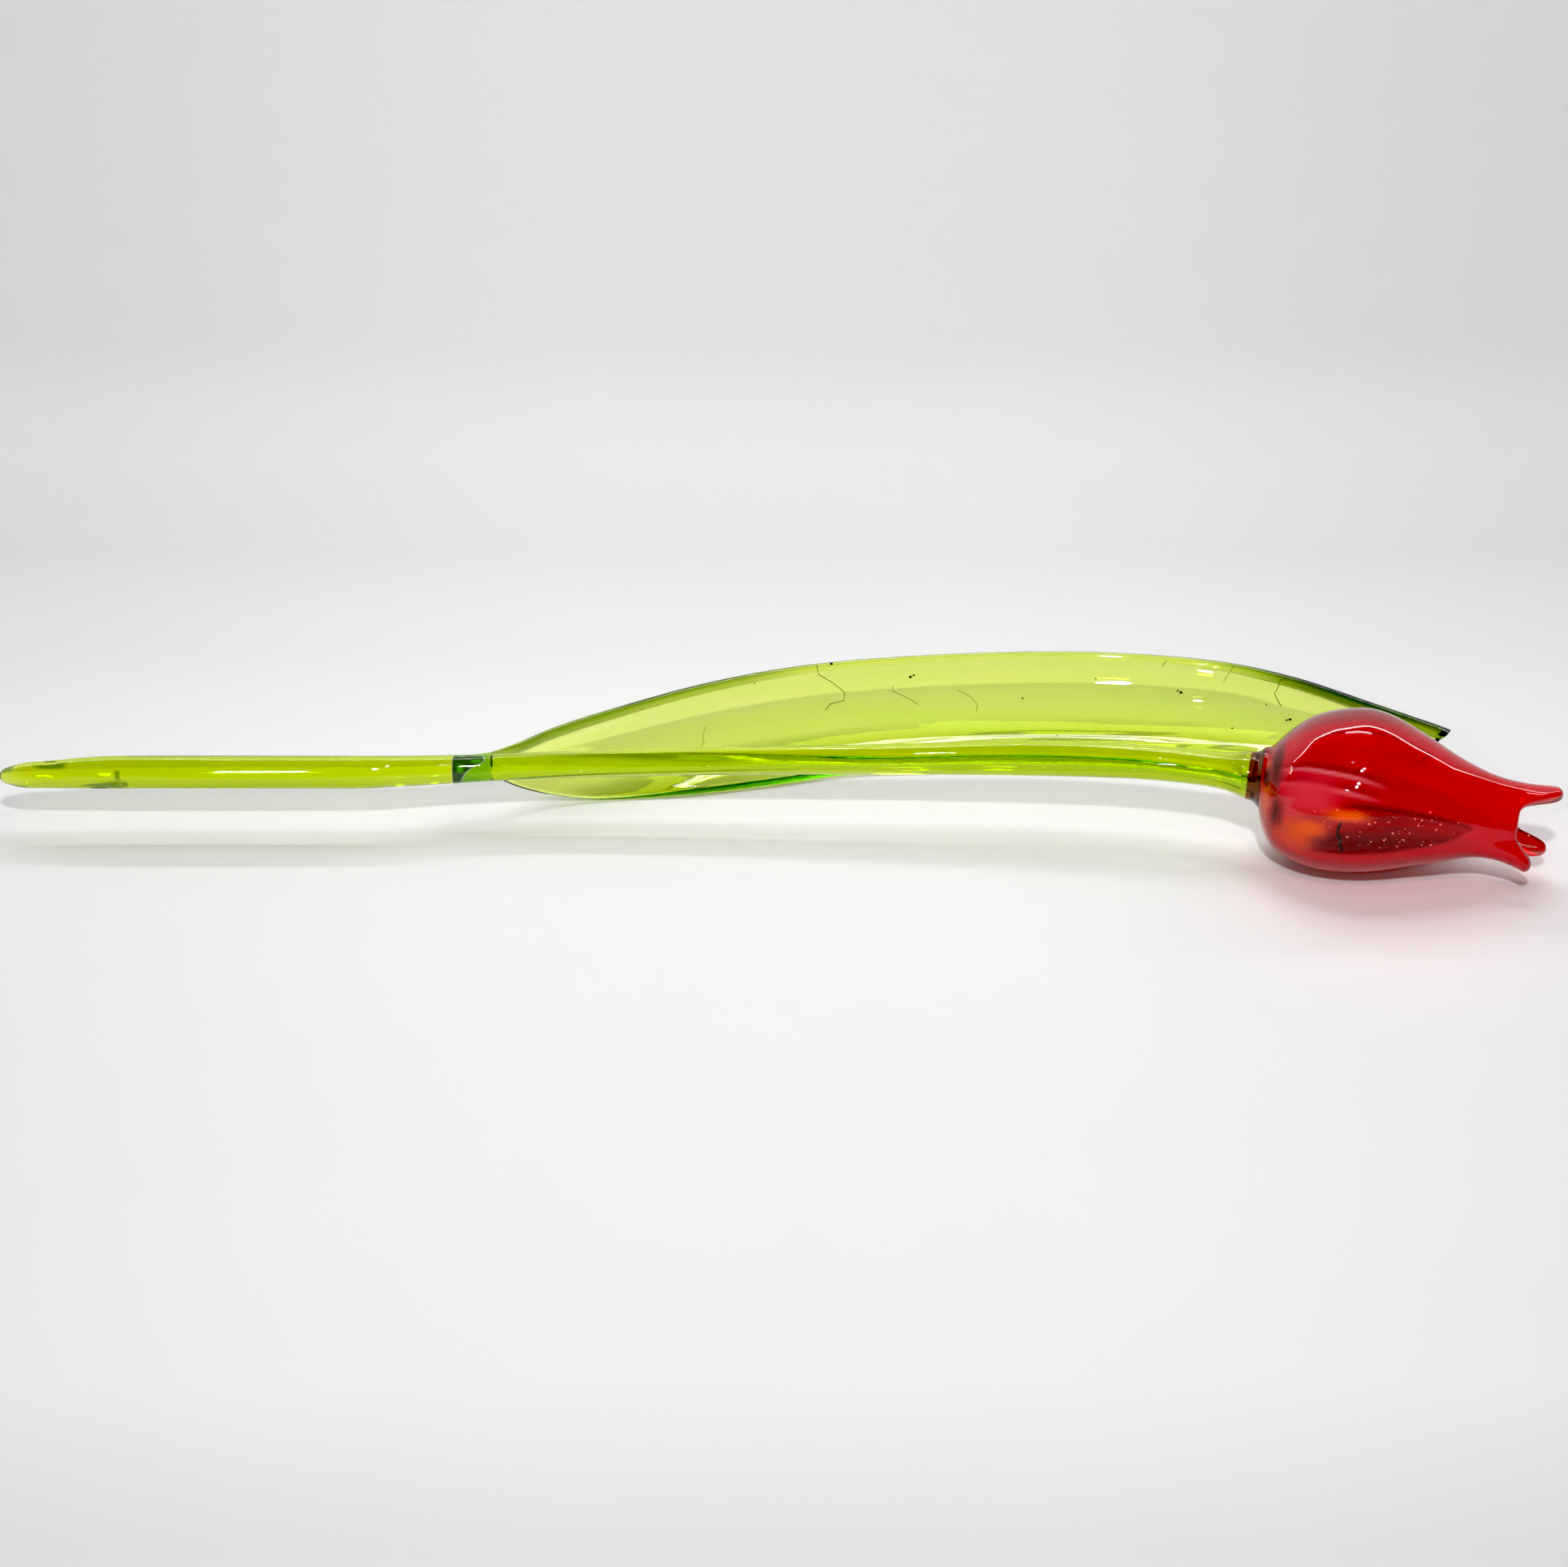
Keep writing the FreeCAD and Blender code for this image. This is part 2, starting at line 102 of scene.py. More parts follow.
def add_node(tree: bpy.types.NodeTree, kind: str, links: dict | None = None, **settings) -> bpy.types.Node:
    """Add one node with its settings and the links that feed it.

    Args:
        tree: the node tree that gets the node.
        kind: Blender's type name of the node.
        links: input name or index to the output socket that feeds it.
        settings: an input's value by its name with underscores, or an attribute of the node.

    Returns:
        The new node.
    """
    node = tree.nodes.new(kind)
    for name, value in settings.items():
        title = name.replace("_", " ")
        if hasattr(node, name):
            setattr(node, name, value)
        elif title in node.inputs:
            node.inputs[title].default_value = value
    for name, output in (links or {}).items():
        tree.links.new(output, node.inputs[name])
    return node


def start_material(
    name: str,
) -> tuple[bpy.types.Material, bpy.types.NodeTree, bpy.types.NodeSocket]:
    """Start an empty node material.

    Args:
        name: the material's name.

    Returns:
        The material, its node tree and the Object coordinates that its patterns read.
    """
    material = bpy.data.materials.new(name)
    material.use_nodes = True
    tree = material.node_tree
    tree.nodes.clear()
    place = add_node(tree, "ShaderNodeTexCoord")
    return material, tree, place.outputs["Object"]


def mottle(
    tree: bpy.types.NodeTree, place: bpy.types.NodeSocket, pattern_mm: float, tints: Sequence[str], **settings
) -> bpy.types.NodeSocket:
    """Let a colour wander between two tints.

    Args:
        tree: the material's node tree.
        place: the coordinates that the pattern reads.
        pattern_mm: size of the pattern.
        tints: the two sRGB colours.
        settings: more settings of the noise.

    Returns:
        The colour.
    """
    noise = add_node(
        tree, "ShaderNodeTexNoise", {"Vector": place}, Scale=1 / (pattern_mm * MM), **settings
    )
    ramp = add_node(tree, "ShaderNodeValToRGB", {"Fac": noise.outputs["Fac"]})
    for stop, tint in zip(ramp.color_ramp.elements, tints):
        stop.color = linear(tint)
    return ramp.outputs["Color"]


def value_at(table: Sequence[Row], along: float, column: int) -> float:
    """Smooth value of a table's column, through its rows, by a cubic with finite-difference slopes.

    Args:
        table: rows that start with their place along the piece.
        along: the place that is asked for.
        column: the column to read.

    Returns:
        The value there, or the end row's value past either end.
    """
    if along <= table[0][0]:
        return table[0][column]
    if along >= table[-1][0]:
        return table[-1][column]
    index = next(i for i in range(len(table) - 1) if along <= table[i + 1][0])

    def slope(i: int) -> float:
        """Slope of the column at one of its rows."""
        before, after = max(i - 1, 0), min(i + 1, len(table) - 1)
        return (table[after][column] - table[before][column]) / (table[after][0] - table[before][0])

    low, high = table[index], table[index + 1]
    span = high[0] - low[0]
    part = (along - low[0]) / span
    square, cube = part * part, part * part * part
    return (
        (2 * cube - 3 * square + 1) * low[column]
        + (cube - 2 * square + part) * span * slope(index)
        + (3 * square - 2 * cube) * high[column]
        + (cube - square) * span * slope(index + 1)
    )


def steps(start: float, end: float, count: int) -> list[float]:
    """Evenly spaced values from start to end, both included."""
    return [start + (end - start) * index / count for index in range(count + 1)]


def bump_wave(away: float, width: float, squareness: float = 2) -> float:
    """Bump that is 1 at its centre and falls to nothing past its width."""
    return math.exp(-(abs(away / width) ** squareness))


def turn_from(turn: float, centre: float) -> float:
    """Degrees from a centre to a turn, the short way round."""
    return (turn - centre + 180) % 360 - 180


def ease(share: float) -> float:
    """Smooth step from 0 to 1, held at both ends."""
    held = min(1.0, max(0.0, share))
    return held * held * (3 - 2 * held)


def blend(first: Row, second: Row, share: float) -> tuple[float, ...]:
    """Row of values between two rows."""
    return tuple(a + (b - a) * share for a, b in zip(first, second))


# A stain, which also carries painted light and shade, is red, green and blue that the skin lets through, then
# how milky the skin is
CLEAR_SKIN = (1.0, 1.0, 1.0, 0.0)


def finish_mesh(name: str, bm: bmesh.types.BMesh, sharp_degrees: float = 50) -> bpy.types.Object:
    """Close, orient and smooth a shell, and put it into the scene as an object at the origin.

    Args:
        name: the piece's name.
        bm: the shell, which is freed.
        sharp_degrees: an edge that turns by more than this stays a crisp one.

    Returns:
        The new object.
    """
    bmesh.ops.remove_doubles(bm, verts=bm.verts, dist=0.002 * MM)
    bmesh.ops.recalc_face_normals(bm, faces=bm.faces)
    for face in bm.faces:
        face.smooth = True
    mesh = bpy.data.meshes.new(name)
    bm.to_mesh(mesh)
    bm.free()
    mesh.set_sharp_from_angle(angle=math.radians(sharp_degrees))
    piece = bpy.data.objects.new(name, mesh)
    bpy.context.scene.collection.objects.link(piece)
    return piece


def loft(bm: bmesh.types.BMesh, rings: Sequence[Sequence[Vector]]) -> None:
    """Draw one closed ring out through a row of rings and close both ends.

    Args:
        bm: the bmesh that gets the tube.
        rings: rings with the same number of points, in the same order.
    """
    count = len(rings[0])
    place = bm.verts.layers.int.get("place") or bm.verts.layers.int.new("place")
    made = bmesh.ops.create_circle(bm, cap_ends=False, radius=MM, segments=count)["verts"]
    for index, vert in enumerate(made):
        vert[place] = index
        vert.co = rings[0][index]
    edges = list(dict.fromkeys(edge for vert in made for edge in vert.link_edges))
    bmesh.ops.contextual_create(bm, geom=edges)
    for ring in rings[1:]:
        grown = bmesh.ops.extrude_edge_only(bm, edges=edges)["geom"]
        edges = [item for item in grown if isinstance(item, bmesh.types.BMEdge)]
        tips = {item for item in grown if isinstance(item, bmesh.types.BMVert)}
        edges = [edge for edge in edges if edge.verts[0] in tips and edge.verts[1] in tips]
        for vert in tips:
            vert.co = ring[vert[place]]
    bmesh.ops.contextual_create(bm, geom=edges)


def spin_line(bm: bmesh.types.BMesh, verts: list[bmesh.types.BMVert], sides: int) -> None:
    """Join vertices into a line and spin it once about the X axis.

    Args:
        bm: the bmesh that holds the vertices.
        verts: the line's vertices, in order.
        sides: steps of the full turn.
    """
    edges = [bm.edges.new(pair) for pair in zip(verts, verts[1:])]
    bmesh.ops.spin(
        bm,
        geom=verts + edges,
        axis=(1, 0, 0),
        cent=(0, 0, 0),
        angle=2 * math.pi,
        steps=sides,
        use_merge=True,
    )


def thread_rings(points: Sequence[Vector], radii: Sequence[float], sides: int) -> list[list[Vector]]:
    """Rings of a thin tube that follows a line of points.

    Args:
        points: the line.
        radii: the tube's radius at each point.
        sides: corners of each ring.

    Returns:
        One ring for each point.
    """
    rings = []
    for index, point in enumerate(points):
        ahead = points[min(index + 1, len(points) - 1)] - points[max(index - 1, 0)]
        turn = ahead.to_track_quat("Z", "Y").to_matrix()
        rings.append(
            [
                point
                + turn @ Vector((math.cos(angle), math.sin(angle), 0)) * radii[index]
                for angle in (2 * math.pi * side / sides for side in range(sides))
            ]
        )
    return rings


@dataclass(frozen=True)
class PhotoView:
    """The camera that the object was fitted to, level with the photograph's own angle."""

    position: tuple[float, float, float] = (0.00414, -1.06326, 0.62224)
    tilt_degrees: float = 60.0
    lens_mm: float = 85.0
    sensor_mm: float = 36.0

    def build(self) -> bpy.types.Object:
        """Make the camera and set it as the scene's own.

        Returns:
            The camera object.
        """
        data = bpy.data.cameras.new("photo_view")
        data.lens = self.lens_mm
        data.sensor_width = self.sensor_mm
        data.clip_start = 10 * MM
        camera = bpy.data.objects.new("photo_view", data)
        camera.location = self.position
        camera.rotation_euler = (math.radians(self.tilt_degrees), 0, 0)
        bpy.context.scene.collection.objects.link(camera)
        bpy.context.scene.camera = camera
        return camera

    def ray(self, column: float, line: float) -> tuple[Vector, Vector]:
        """Line of sight through a pixel of the photograph.

        Args:
            column: pixels from the left edge.
            line: pixels from the top edge.

        Returns:
            The camera's place and the direction.
        """
        focal = self.lens_mm / self.sensor_mm * IMAGE_WIDTH
        local = Vector((column - IMAGE_WIDTH / 2, IMAGE_HEIGHT / 2 - line, -focal))
        turned = Matrix.Rotation(math.radians(self.tilt_degrees), 3, "X") @ local
        return Vector(self.position), turned.normalized()

    def hit(self, tree: BVHTree, column: float, line: float) -> tuple[Vector, Vector] | None:
        """First point of a surface behind a pixel.

        Args:
            tree: the surface.
            column: pixels from the left edge.
            line: pixels from the top edge.

        Returns:
            The point and the surface's outward direction there, or None where the line misses.
        """
        origin, direction = self.ray(column, line)
        point, normal, _, _ = tree.ray_cast(origin, direction)
        return None if point is None else (point, normal)


@dataclass(frozen=True)
class Glass:
    """Clear or coloured soda glass, worked hot, with a fire-polished skin.

    The colour is in the thickness of the glass, so thin places are pale and long ways are deep.
    """

    name: str
    surface: Surface
    skin_hex: tuple[str, str]
    depth_colour: tuple[float, float, float]
    depth_density: float
    ior: float = 1.5
    roughness: float = 0.008
    pattern_mm: float = 9.0
    relief_mm: float = 0.010
    stained: bool = False
    # Where the skin's two tints start and end in the pattern
    tint_range: tuple[float, float] = (0.35, 0.65)
    # Marks of handling: their size, where they start and end, and how much duller they are
    handling_mm: float = 22.0
    handling_range: tuple[float, float] = (0.45, 0.75)
    handling_dullness: float = 3.0

    def build(self) -> bpy.types.Material:
        """Make the node material.

        Returns:
            The material.
        """
        material, tree, place = start_material(self.name)
        drawn_out = {
            Surface.BLOWN: (1.0, 1.0, 1.0),
            Surface.DRAWN: (0.035, 1.0, 1.0),
            Surface.PRESSED: (0.08, 1.0, 1.0),
        }[self.surface]
        stretched = add_node(tree, "ShaderNodeMapping", {"Vector": place}, Scale=drawn_out)
        cords = add_node(
            tree,
            "ShaderNodeTexNoise",
            {"Vector": stretched.outputs["Vector"]},
            Scale=1 / (self.pattern_mm * MM),
            Detail=2.0,
            Roughness=0.45,
        )
        tint = add_node(tree, "ShaderNodeValToRGB", {"Fac": cords.outputs["Fac"]})
        for stop, share, skin in zip(tint.color_ramp.elements, self.tint_range, self.skin_hex):
            stop.position = share
            stop.color = linear(skin)
        relief = add_node(
            tree,
            "ShaderNodeBump",
            {"Height": cords.outputs["Fac"]},
            Strength=1.0,
            Distance=self.relief_mm * MM,
        )
        handling = add_node(
            tree, "ShaderNodeTexNoise", {"Vector": place}, Scale=1 / (self.handling_mm * MM), Detail=5.0
        )
        polish = add_node(
            tree,
            "ShaderNodeMapRange",
            {"Value": handling.outputs["Fac"]},
            From_Min=self.handling_range[0],
            From_Max=self.handling_range[1],
            To_Min=self.roughness,
            To_Max=self.roughness * self.handling_dullness,
        )
        links = {
            "Base Color": tint.outputs["Color"],
            "Roughness": polish.outputs["Result"],
            "Normal": relief.outputs["Normal"],
        }
        if self.stained:
            links.update(self.stain_links(tree, tint.outputs["Color"]))
        shader = add_node(
            tree, "ShaderNodeBsdfPrincipled", links, IOR=self.ior, Transmission_Weight=1.0
        )
        depth = add_node(
            tree,
            "ShaderNodeVolumeAbsorption",
            Color=(*self.depth_colour, 1.0),
            Density=self.depth_density,
        )
        add_node(
            tree,
            "ShaderNodeOutputMaterial",
            {"Surface": shader.outputs["BSDF"], "Volume": depth.outputs["Volume"]},
        )
        return material

    def stain_links(self, tree: bpy.types.NodeTree, tint: bpy.types.NodeSocket) -> dict:
        """Let the piece's own stain, with the light and shade painted into it, colour the skin and make it
        milky.

        Args:
            tree: the material's node tree.
            tint: the skin's colour without the stain.

        Returns:
            The shader's inputs that the stain feeds.
        """
        stain_and_shade = add_node(tree, "ShaderNodeAttribute", attribute_name="stain_and_shade")
        mixed = add_node(
            tree,
            "ShaderNodeMix",
            {6: tint, 7: stain_and_shade.outputs["Color"]},
            data_type="RGBA",
            blend_type="MULTIPLY",
            Factor=1.0,
        )
        clear = add_node(
            tree, "ShaderNodeMapRange", {"Value": stain_and_shade.outputs["Alpha"]}, To_Min=1.0, To_Max=0.0
        )
        return {"Base Color": mixed.outputs[2], "Transmission Weight": clear.outputs["Result"]}


# Ruby glass, gold or selenium red, blown: a deep pure red that turns orange where it is thin
RUBY = Glass(
    "ruby_glass_blown",
    Surface.BLOWN,
    ("#FFFFFF", "#FFF2F0"),
    (0.985, 0.425, 0.115),
    1100.0,
    pattern_mm=14.0,
    relief_mm=0.012,
    stained=True,
)

# Yellow-green glass, drawn into a rod: fine cords run along it and its thickness gives the colour
GREEN_ROD = Glass(
    "green_glass_drawn",
    Surface.DRAWN,
    ("#FFFFFF", "#F4FAE8"),
    (0.930, 0.962, 0.38),
    640.0,
    pattern_mm=2.4,
    relief_mm=0.05,
    stained=True,
)

# The same glass, pulled and pressed flat: wide shallow bands run along the leaf
GREEN_LEAF = Glass(
    "green_glass_pressed",
    Surface.PRESSED,
    ("#FFFFFF", "#F8FFF2"),
    (0.911, 0.970, 0.014),
    560.0,
    pattern_mm=5.0,
    relief_mm=0.03,
    stained=True,
)

# Overlay where green meets red: both colours in one thickness look nearly black
OVERLAY = Glass(
    "brown_glass_overlay",
    Surface.BLOWN,
    ("#FFFFFF", "#FFF3E8"),
    (0.93, 0.87, 0.05),
    1500.0,
    pattern_mm=3.0,
    relief_mm=0.03,
)


# The leaf's root, where three layers of the green glass were gathered: almost bottle green
GREEN_ROOT = Glass(
    "green_glass_gathered",
    Surface.PRESSED,
    ("#FFFFFF", "#F2FFE8"),
    (0.90, 0.962, 0.014),
    3200.0,
    pattern_mm=4.0,
    relief_mm=0.04,
)


@dataclass(frozen=True)
class TrappedAir:
    """Seed of air in the glass, a pale dot that glows: the glow is painted light for the light its far wall
    throws back.
    """

    name: str = "trapped_air"
    pale_hex: str = "#FFF4EC"
    dull_hex: str = "#E8C8B8"
    painted_glow: float = 0.9
    roughness: float = 0.35
    mist_mm: float = 3.0

    def build(self) -> bpy.types.Material:
        """Make the node material.

        Returns:
            The material.
        """
        material, tree, place = start_material(self.name)
        tint = mottle(tree, place, self.mist_mm, (self.dull_hex, self.pale_hex))
        shader = add_node(
            tree,
            "ShaderNodeBsdfPrincipled",
            {"Base Color": tint, "Emission Color": tint},
            Roughness=self.roughness,
            # The emission is painted light: the seed glows though it is no lamp
            Emission_Strength=self.painted_glow,
        )
        add_node(tree, "ShaderNodeOutputMaterial", {"Surface": shader.outputs["BSDF"]})
        return material


@dataclass(frozen=True)
class Grit:
    """Furnace dirt caught in the glass: brown to black, dull, with no gloss of its own."""

    name: str = "furnace_dirt"
    dark_hex: str = "#1C1208"
    light_hex: str = "#4A3A12"
    roughness: float = 0.8
    grain_mm: float = 0.8

    def build(self) -> bpy.types.Material:
        """Make the node material.

        Returns:
            The material.
        """
        material, tree, place = start_material(self.name)
        tone = mottle(tree, place, self.grain_mm, (self.dark_hex, self.light_hex))
        shader = add_node(
            tree, "ShaderNodeBsdfPrincipled", {"Base Color": tone}, Roughness=self.roughness
        )
        add_node(tree, "ShaderNodeOutputMaterial", {"Surface": shader.outputs["BSDF"]})
        return material


def dress(piece: bpy.types.Object, material: bpy.types.Material, slot: Slot, *nodes: str) -> None:
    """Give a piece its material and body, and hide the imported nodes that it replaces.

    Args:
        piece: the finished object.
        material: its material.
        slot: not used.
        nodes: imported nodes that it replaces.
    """
    piece.data.materials.clear()
    piece.data.materials.append(material)
    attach(piece, "root")
    if nodes:
        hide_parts(*nodes)


@dataclass
class Stem:
    """Drawn rod of green glass: a worked tip, a straight shank and a long gentle bend. Sizes in mm."""

    shank_radius: float = 5.4
    shank_start: float = 40.0
    shank_length: float = 78.0
    drawn_length: float = 287.4
    shank_height: float = 22.14
    shank_back: float = -16.54
    tip_reach: float = 251.54
    drawn_radius: float = 4.4
    sway: float = 12.6
    rise: float = 6.1
    flare_radius: float = 7.8
    bloom_yaw: float = 12.1
    bloom_pitch: float = 2.2
    joint_gap: float = 0.03
    sides: int = 96
    pitch_mm: float = 1.5
    # Closer rings where the skin is worked: at the tip, and from and past the joint's start
    fine_pitch_mm: float = 0.45
    fine_tip: Row = (2.0, 44.0)
    fine_joint: Row = (-1.0, 12.5)
    # Last share of the drawn length, over which the rings turn to the bloom's axis, and how they start
    turning_share: float = 0.3
    turning_power: float = 0.8
    # Cords of the drawn skin: how many round the rod, start, drift per mm and height in mm
    cord_twist: float = 0.004
    cords: tuple[Row, ...] = (
        (5, 0.7, 0.0, 0.025),
        (9, 2.1, 0.006, 0.0175),
        (17, 0.0, -0.009, 0.0125),
    )
    tip_ring_shares: Row = (0.0, 0.004, 0.010, 0.018, 0.028)
    tip_shares: tuple[Row, ...] = (
        (0.0, 0.17, 0.24),
        (0.03, 0.40, 0.24),
        (0.09, 0.56, 0.23),
        (0.16, 0.70, 0.22),
        (0.24, 0.79, 0.19),
        (0.42, 0.84, 0.15),
        (0.62, 0.92, 0.07),
        (0.82, 0.98, 0.02),
        (1.0, 1.0, 0.0),
    )
    drawn_shares: tuple[Row, ...] = (
        (0.030, 1.17, -0.05, -0.02),
        (0.086, 1.09, -0.25, -0.15),
        (0.141, 1.01, -0.37, -0.16),
        (0.234, 1.00, -0.49, -0.10),
        (0.387, 1.03, -0.46, 0.13),
        (0.475, 1.05, -0.40, 0.27),
        (0.608, 1.15, -0.29, 0.48),
        (0.748, 1.31, -0.15, 0.70),
        (0.873, 1.29, 0.17, 0.87),
        (0.944, 1.26, 0.54, 0.93),
        (0.975, 1.36, 0.77, 0.97),
        (0.990, 1.57, 0.90, 0.99),
    )
    # Dents of the tools at the tip: along from the free end, turn from the top, length, width, depth
    tool_marks: tuple[Row, ...] = (
        (17.0, -14.0, 5.6, 20.0, 0.40),
        (33.0, -120.0, 7.0, 18.0, 0.45),
        (39.2, -72.0, 0.8, 30.0, 0.30),
        (19.5, -72.0, 4.5, 9.0, 0.12),
    )
    dent_squareness: float = 3.0
    # Painted shade where the tools' dents refract dark, and a painted dark reflection along the top: along
    # from the free end, turn, half length, half width, how much the patch narrows towards the free end
    painted_shades: tuple[Row, ...] = (
        (17.2, 24.0, 5.4, 18.0, 0.5),
        (34.0, 116.0, 7.2, 31.0, 0.9),
        (39.3, 72.0, 0.8, 19.0, 0.0),
        (41.5, 108.0, 1.0, 12.0, 0.0),
        (6.5, 132.0, 3.4, 14.0, 0.0),
        (2.4, 0.0, 2.4, 34.0, 0.0),
        (78.0, -19.0, 38.0, 11.0, 0.0),
    )
    # How crisp a dark patch is at its ends and at its sides
    shade_squareness: Row = (8.0, 6.0)
    # Colour and milkiness of the painted shade
    painted_shade_colour: Row = (0.10, 0.20, 0.10, 0.0)
    # Where the leaf is fused on, from the free end, and how far the joint's painted shade reaches at each
    # turn
    joint_start: float = 147.4
    joint_length: float = 12.0
    joint_shade_reach: tuple[Row, ...] = (
        (0.0, 10.6),
        (35.0, 10.6),
        (50.0, 8.0),
        (80.0, 4.9),
        (125.0, 3.4),
        (160.0, 3.0),
    )
    joint_shade_fade: float = 0.8
    # Colour and milkiness of the joint's painted shade
    joint_painted_shade: Row = (0.035, 0.075, 0.02, 0.85)
    # Spots of painted light inside the joint's painted shade: past its start, half length, turn and half
    # width
    painted_light_spots: tuple[Row, ...] = ((2.8, 1.0, 60.0, 16.0), (8.0, 1.6, 30.0, 8.0))
    light_spot_squareness: float = 4.0
    # Colour and milkiness of the painted light spots
    light_spot_colour: Row = (0.10, 0.42, 0.01, 0.45)
    lines: list[Row] = field(default_factory=list)

    def __post_init__(self) -> None:
        """Work out the rows of the axis: x, y, z and radius, from the free end to the collar."""
        for along, radius, drop in self.tip_shares:
            x = self.shank_start * along - self.tip_reach
            radius_here = self.shank_radius * radius
            self.lines.append((x, self.shank_back, self.shank_height - self.shank_radius * drop, radius_here))
        shank_end = self.shank_start + self.shank_length - self.tip_reach
        self.lines.append((shank_end, self.shank_back, self.shank_height, self.shank_radius))
        for along, radius, sway, rise in self.drawn_shares:
            self.lines.append(
                (
                    shank_end + self.drawn_length * along,
                    self.shank_back - self.sway * sway,
                    self.shank_height + self.rise * rise,
                    self.drawn_radius * radius,
                )
            )
        self.lines.append((shank_end + self.drawn_length, *self.end_centre[1:], self.flare_radius))

    @property
    def end_centre(self) -> Vector:
        """Centre of the stem's end face at the collar.

        Returns:
            The centre in mm.
        """
        return Vector(
            (
                self.shank_start + self.shank_length + self.drawn_length - self.tip_reach,
                self.shank_back - self.sway,
                self.shank_height + self.rise,
            )
        )

    @property
    def bloom_turn(self) -> Matrix:
        """Rotation from +X to the bloom's axis."""
        yaw = Matrix.Rotation(math.radians(-self.bloom_yaw), 3, "Z")
        pitch = Matrix.Rotation(math.radians(self.bloom_pitch), 3, "Y")
        return yaw @ pitch

    def skin(self, x: float, angle: float) -> float:
        """How far the rod's surface stands off its round: drawn cords and the tools' dents.

        Args:
            x: place along the stem, in mm from the origin.
            angle: turn from the top towards the front, in radians.

        Returns:
            The offset in mm.
        """
        twist = angle + x * self.cord_twist
        offset = sum(
            height * math.sin(count * twist + start + x * drift) for count, start, drift, height in self.cords
        )
        for along, turn, length, width, depth in self.tool_marks:
            away = turn_from(math.degrees(angle), -turn)
            if abs(x + self.tip_reach - along) < 3 * length:
                reach = bump_wave(x + self.tip_reach - along, length / 2, self.dent_squareness)
                offset -= depth * reach * bump_wave(away, width, self.dent_squareness)
        return offset

    def stain_and_shade(self, x: float, turn: float) -> tuple[float, ...]:
        """How dark the rod's skin is, all painted shade: at the tools' dents, along the top and at the leaf's
        joint, with spots of painted light inside the joint.

        Args:
            x: place along the stem, in mm from the origin.
            turn: degrees from the top towards the front.

        Returns:
            Red, green, blue and milkiness.
        """
        along = x + self.tip_reach
        dark = 0.0
        for place, centre, half, width, taper in self.painted_shades:
            off = (along - place) / half
            reach = width * (1 - taper * (0.5 - 0.5 * max(-1.0, min(1.0, off))))
            ends, sides = self.shade_squareness
            across = bump_wave(turn_from(turn, centre), max(reach, 0.5), sides)
            dark = max(dark, bump_wave(off, 1.0, ends) * across)
        skin = blend(CLEAR_SKIN, self.painted_shade_colour, dark)
        inside = along - self.joint_start
        if self.joint_shade_reach[0][0] < turn < self.joint_shade_reach[-1][0] and 0 < inside < self.joint_length:
            joint_shade = ease((value_at(self.joint_shade_reach, turn, 1) - inside) / self.joint_shade_fade)
            light_spot = max(
                bump_wave(inside - place, half, self.light_spot_squareness)
                * bump_wave(turn - centre, width, self.light_spot_squareness)
                for place, half, centre, width in self.painted_light_spots
            )
            skin = blend(skin, blend(self.joint_painted_shade, self.light_spot_colour, light_spot), joint_shade)
        return skin

    def ring(self, x: float, turn_share: float, end: bool = False) -> list[Vector]:
        """One ring of the rod.

        Args:
            x: place along the stem, in mm.
            turn_share: share of the bloom's turn that the ring takes.
            end: True for the face at the collar.

        Returns:
            The ring's points in metres.
        """
        centre = Vector((x, value_at(self.lines, x, 1), value_at(self.lines, x, 2)))
        radius = value_at(self.lines, x, 3)
        turn = Matrix.Identity(3).to_quaternion().slerp(self.bloom_turn.to_quaternion(), turn_share)
        points = []
        for side in range(self.sides):
            angle = 2 * math.pi * side / self.sides
            out = radius if end else radius + self.skin(x, angle) * min(1, radius / self.shank_radius)
            points.append((centre + turn @ Vector((0, -out * math.sin(angle), out * math.cos(angle)))) * MM)
        return points

    def build(self) -> bpy.types.Object:
        """Draw the rod out from its tip to the collar.

        Returns:
            The stem.
        """
        start, end = -self.tip_reach, self.end_centre.x - self.joint_gap
        count = int((end - start) / self.pitch_mm)
        bend = end - self.turning_share * self.drawn_length
        places = {start + self.shank_start * share for share in self.tip_ring_shares}
        places.update(steps(start + self.pitch_mm, end, count))
        for first, last in (self.fine_tip, [self.joint_start + reach for reach in self.fine_joint]):
            places.update(steps(start + first, start + last, int((last - first) / self.fine_pitch_mm)))
        rings = []
        for x in sorted(places):
            rings.append(self.ring(x, min(1.0, max(0.0, (x - bend) / (end - bend)) ** self.turning_power)))
        bm = bmesh.new()
        stain_and_shade = bm.verts.layers.float_color.new("stain_and_shade")
        loft(bm, rings)
        for vert in bm.verts:
            x = vert.co.x / MM
            back = vert.co.y / MM - value_at(self.lines, x, 1)
            up = vert.co.z / MM - value_at(self.lines, x, 2)
            vert[stain_and_shade] = self.stain_and_shade(x, math.degrees(math.atan2(-back, up)))
        return finish_mesh("drawn_stem", bm)


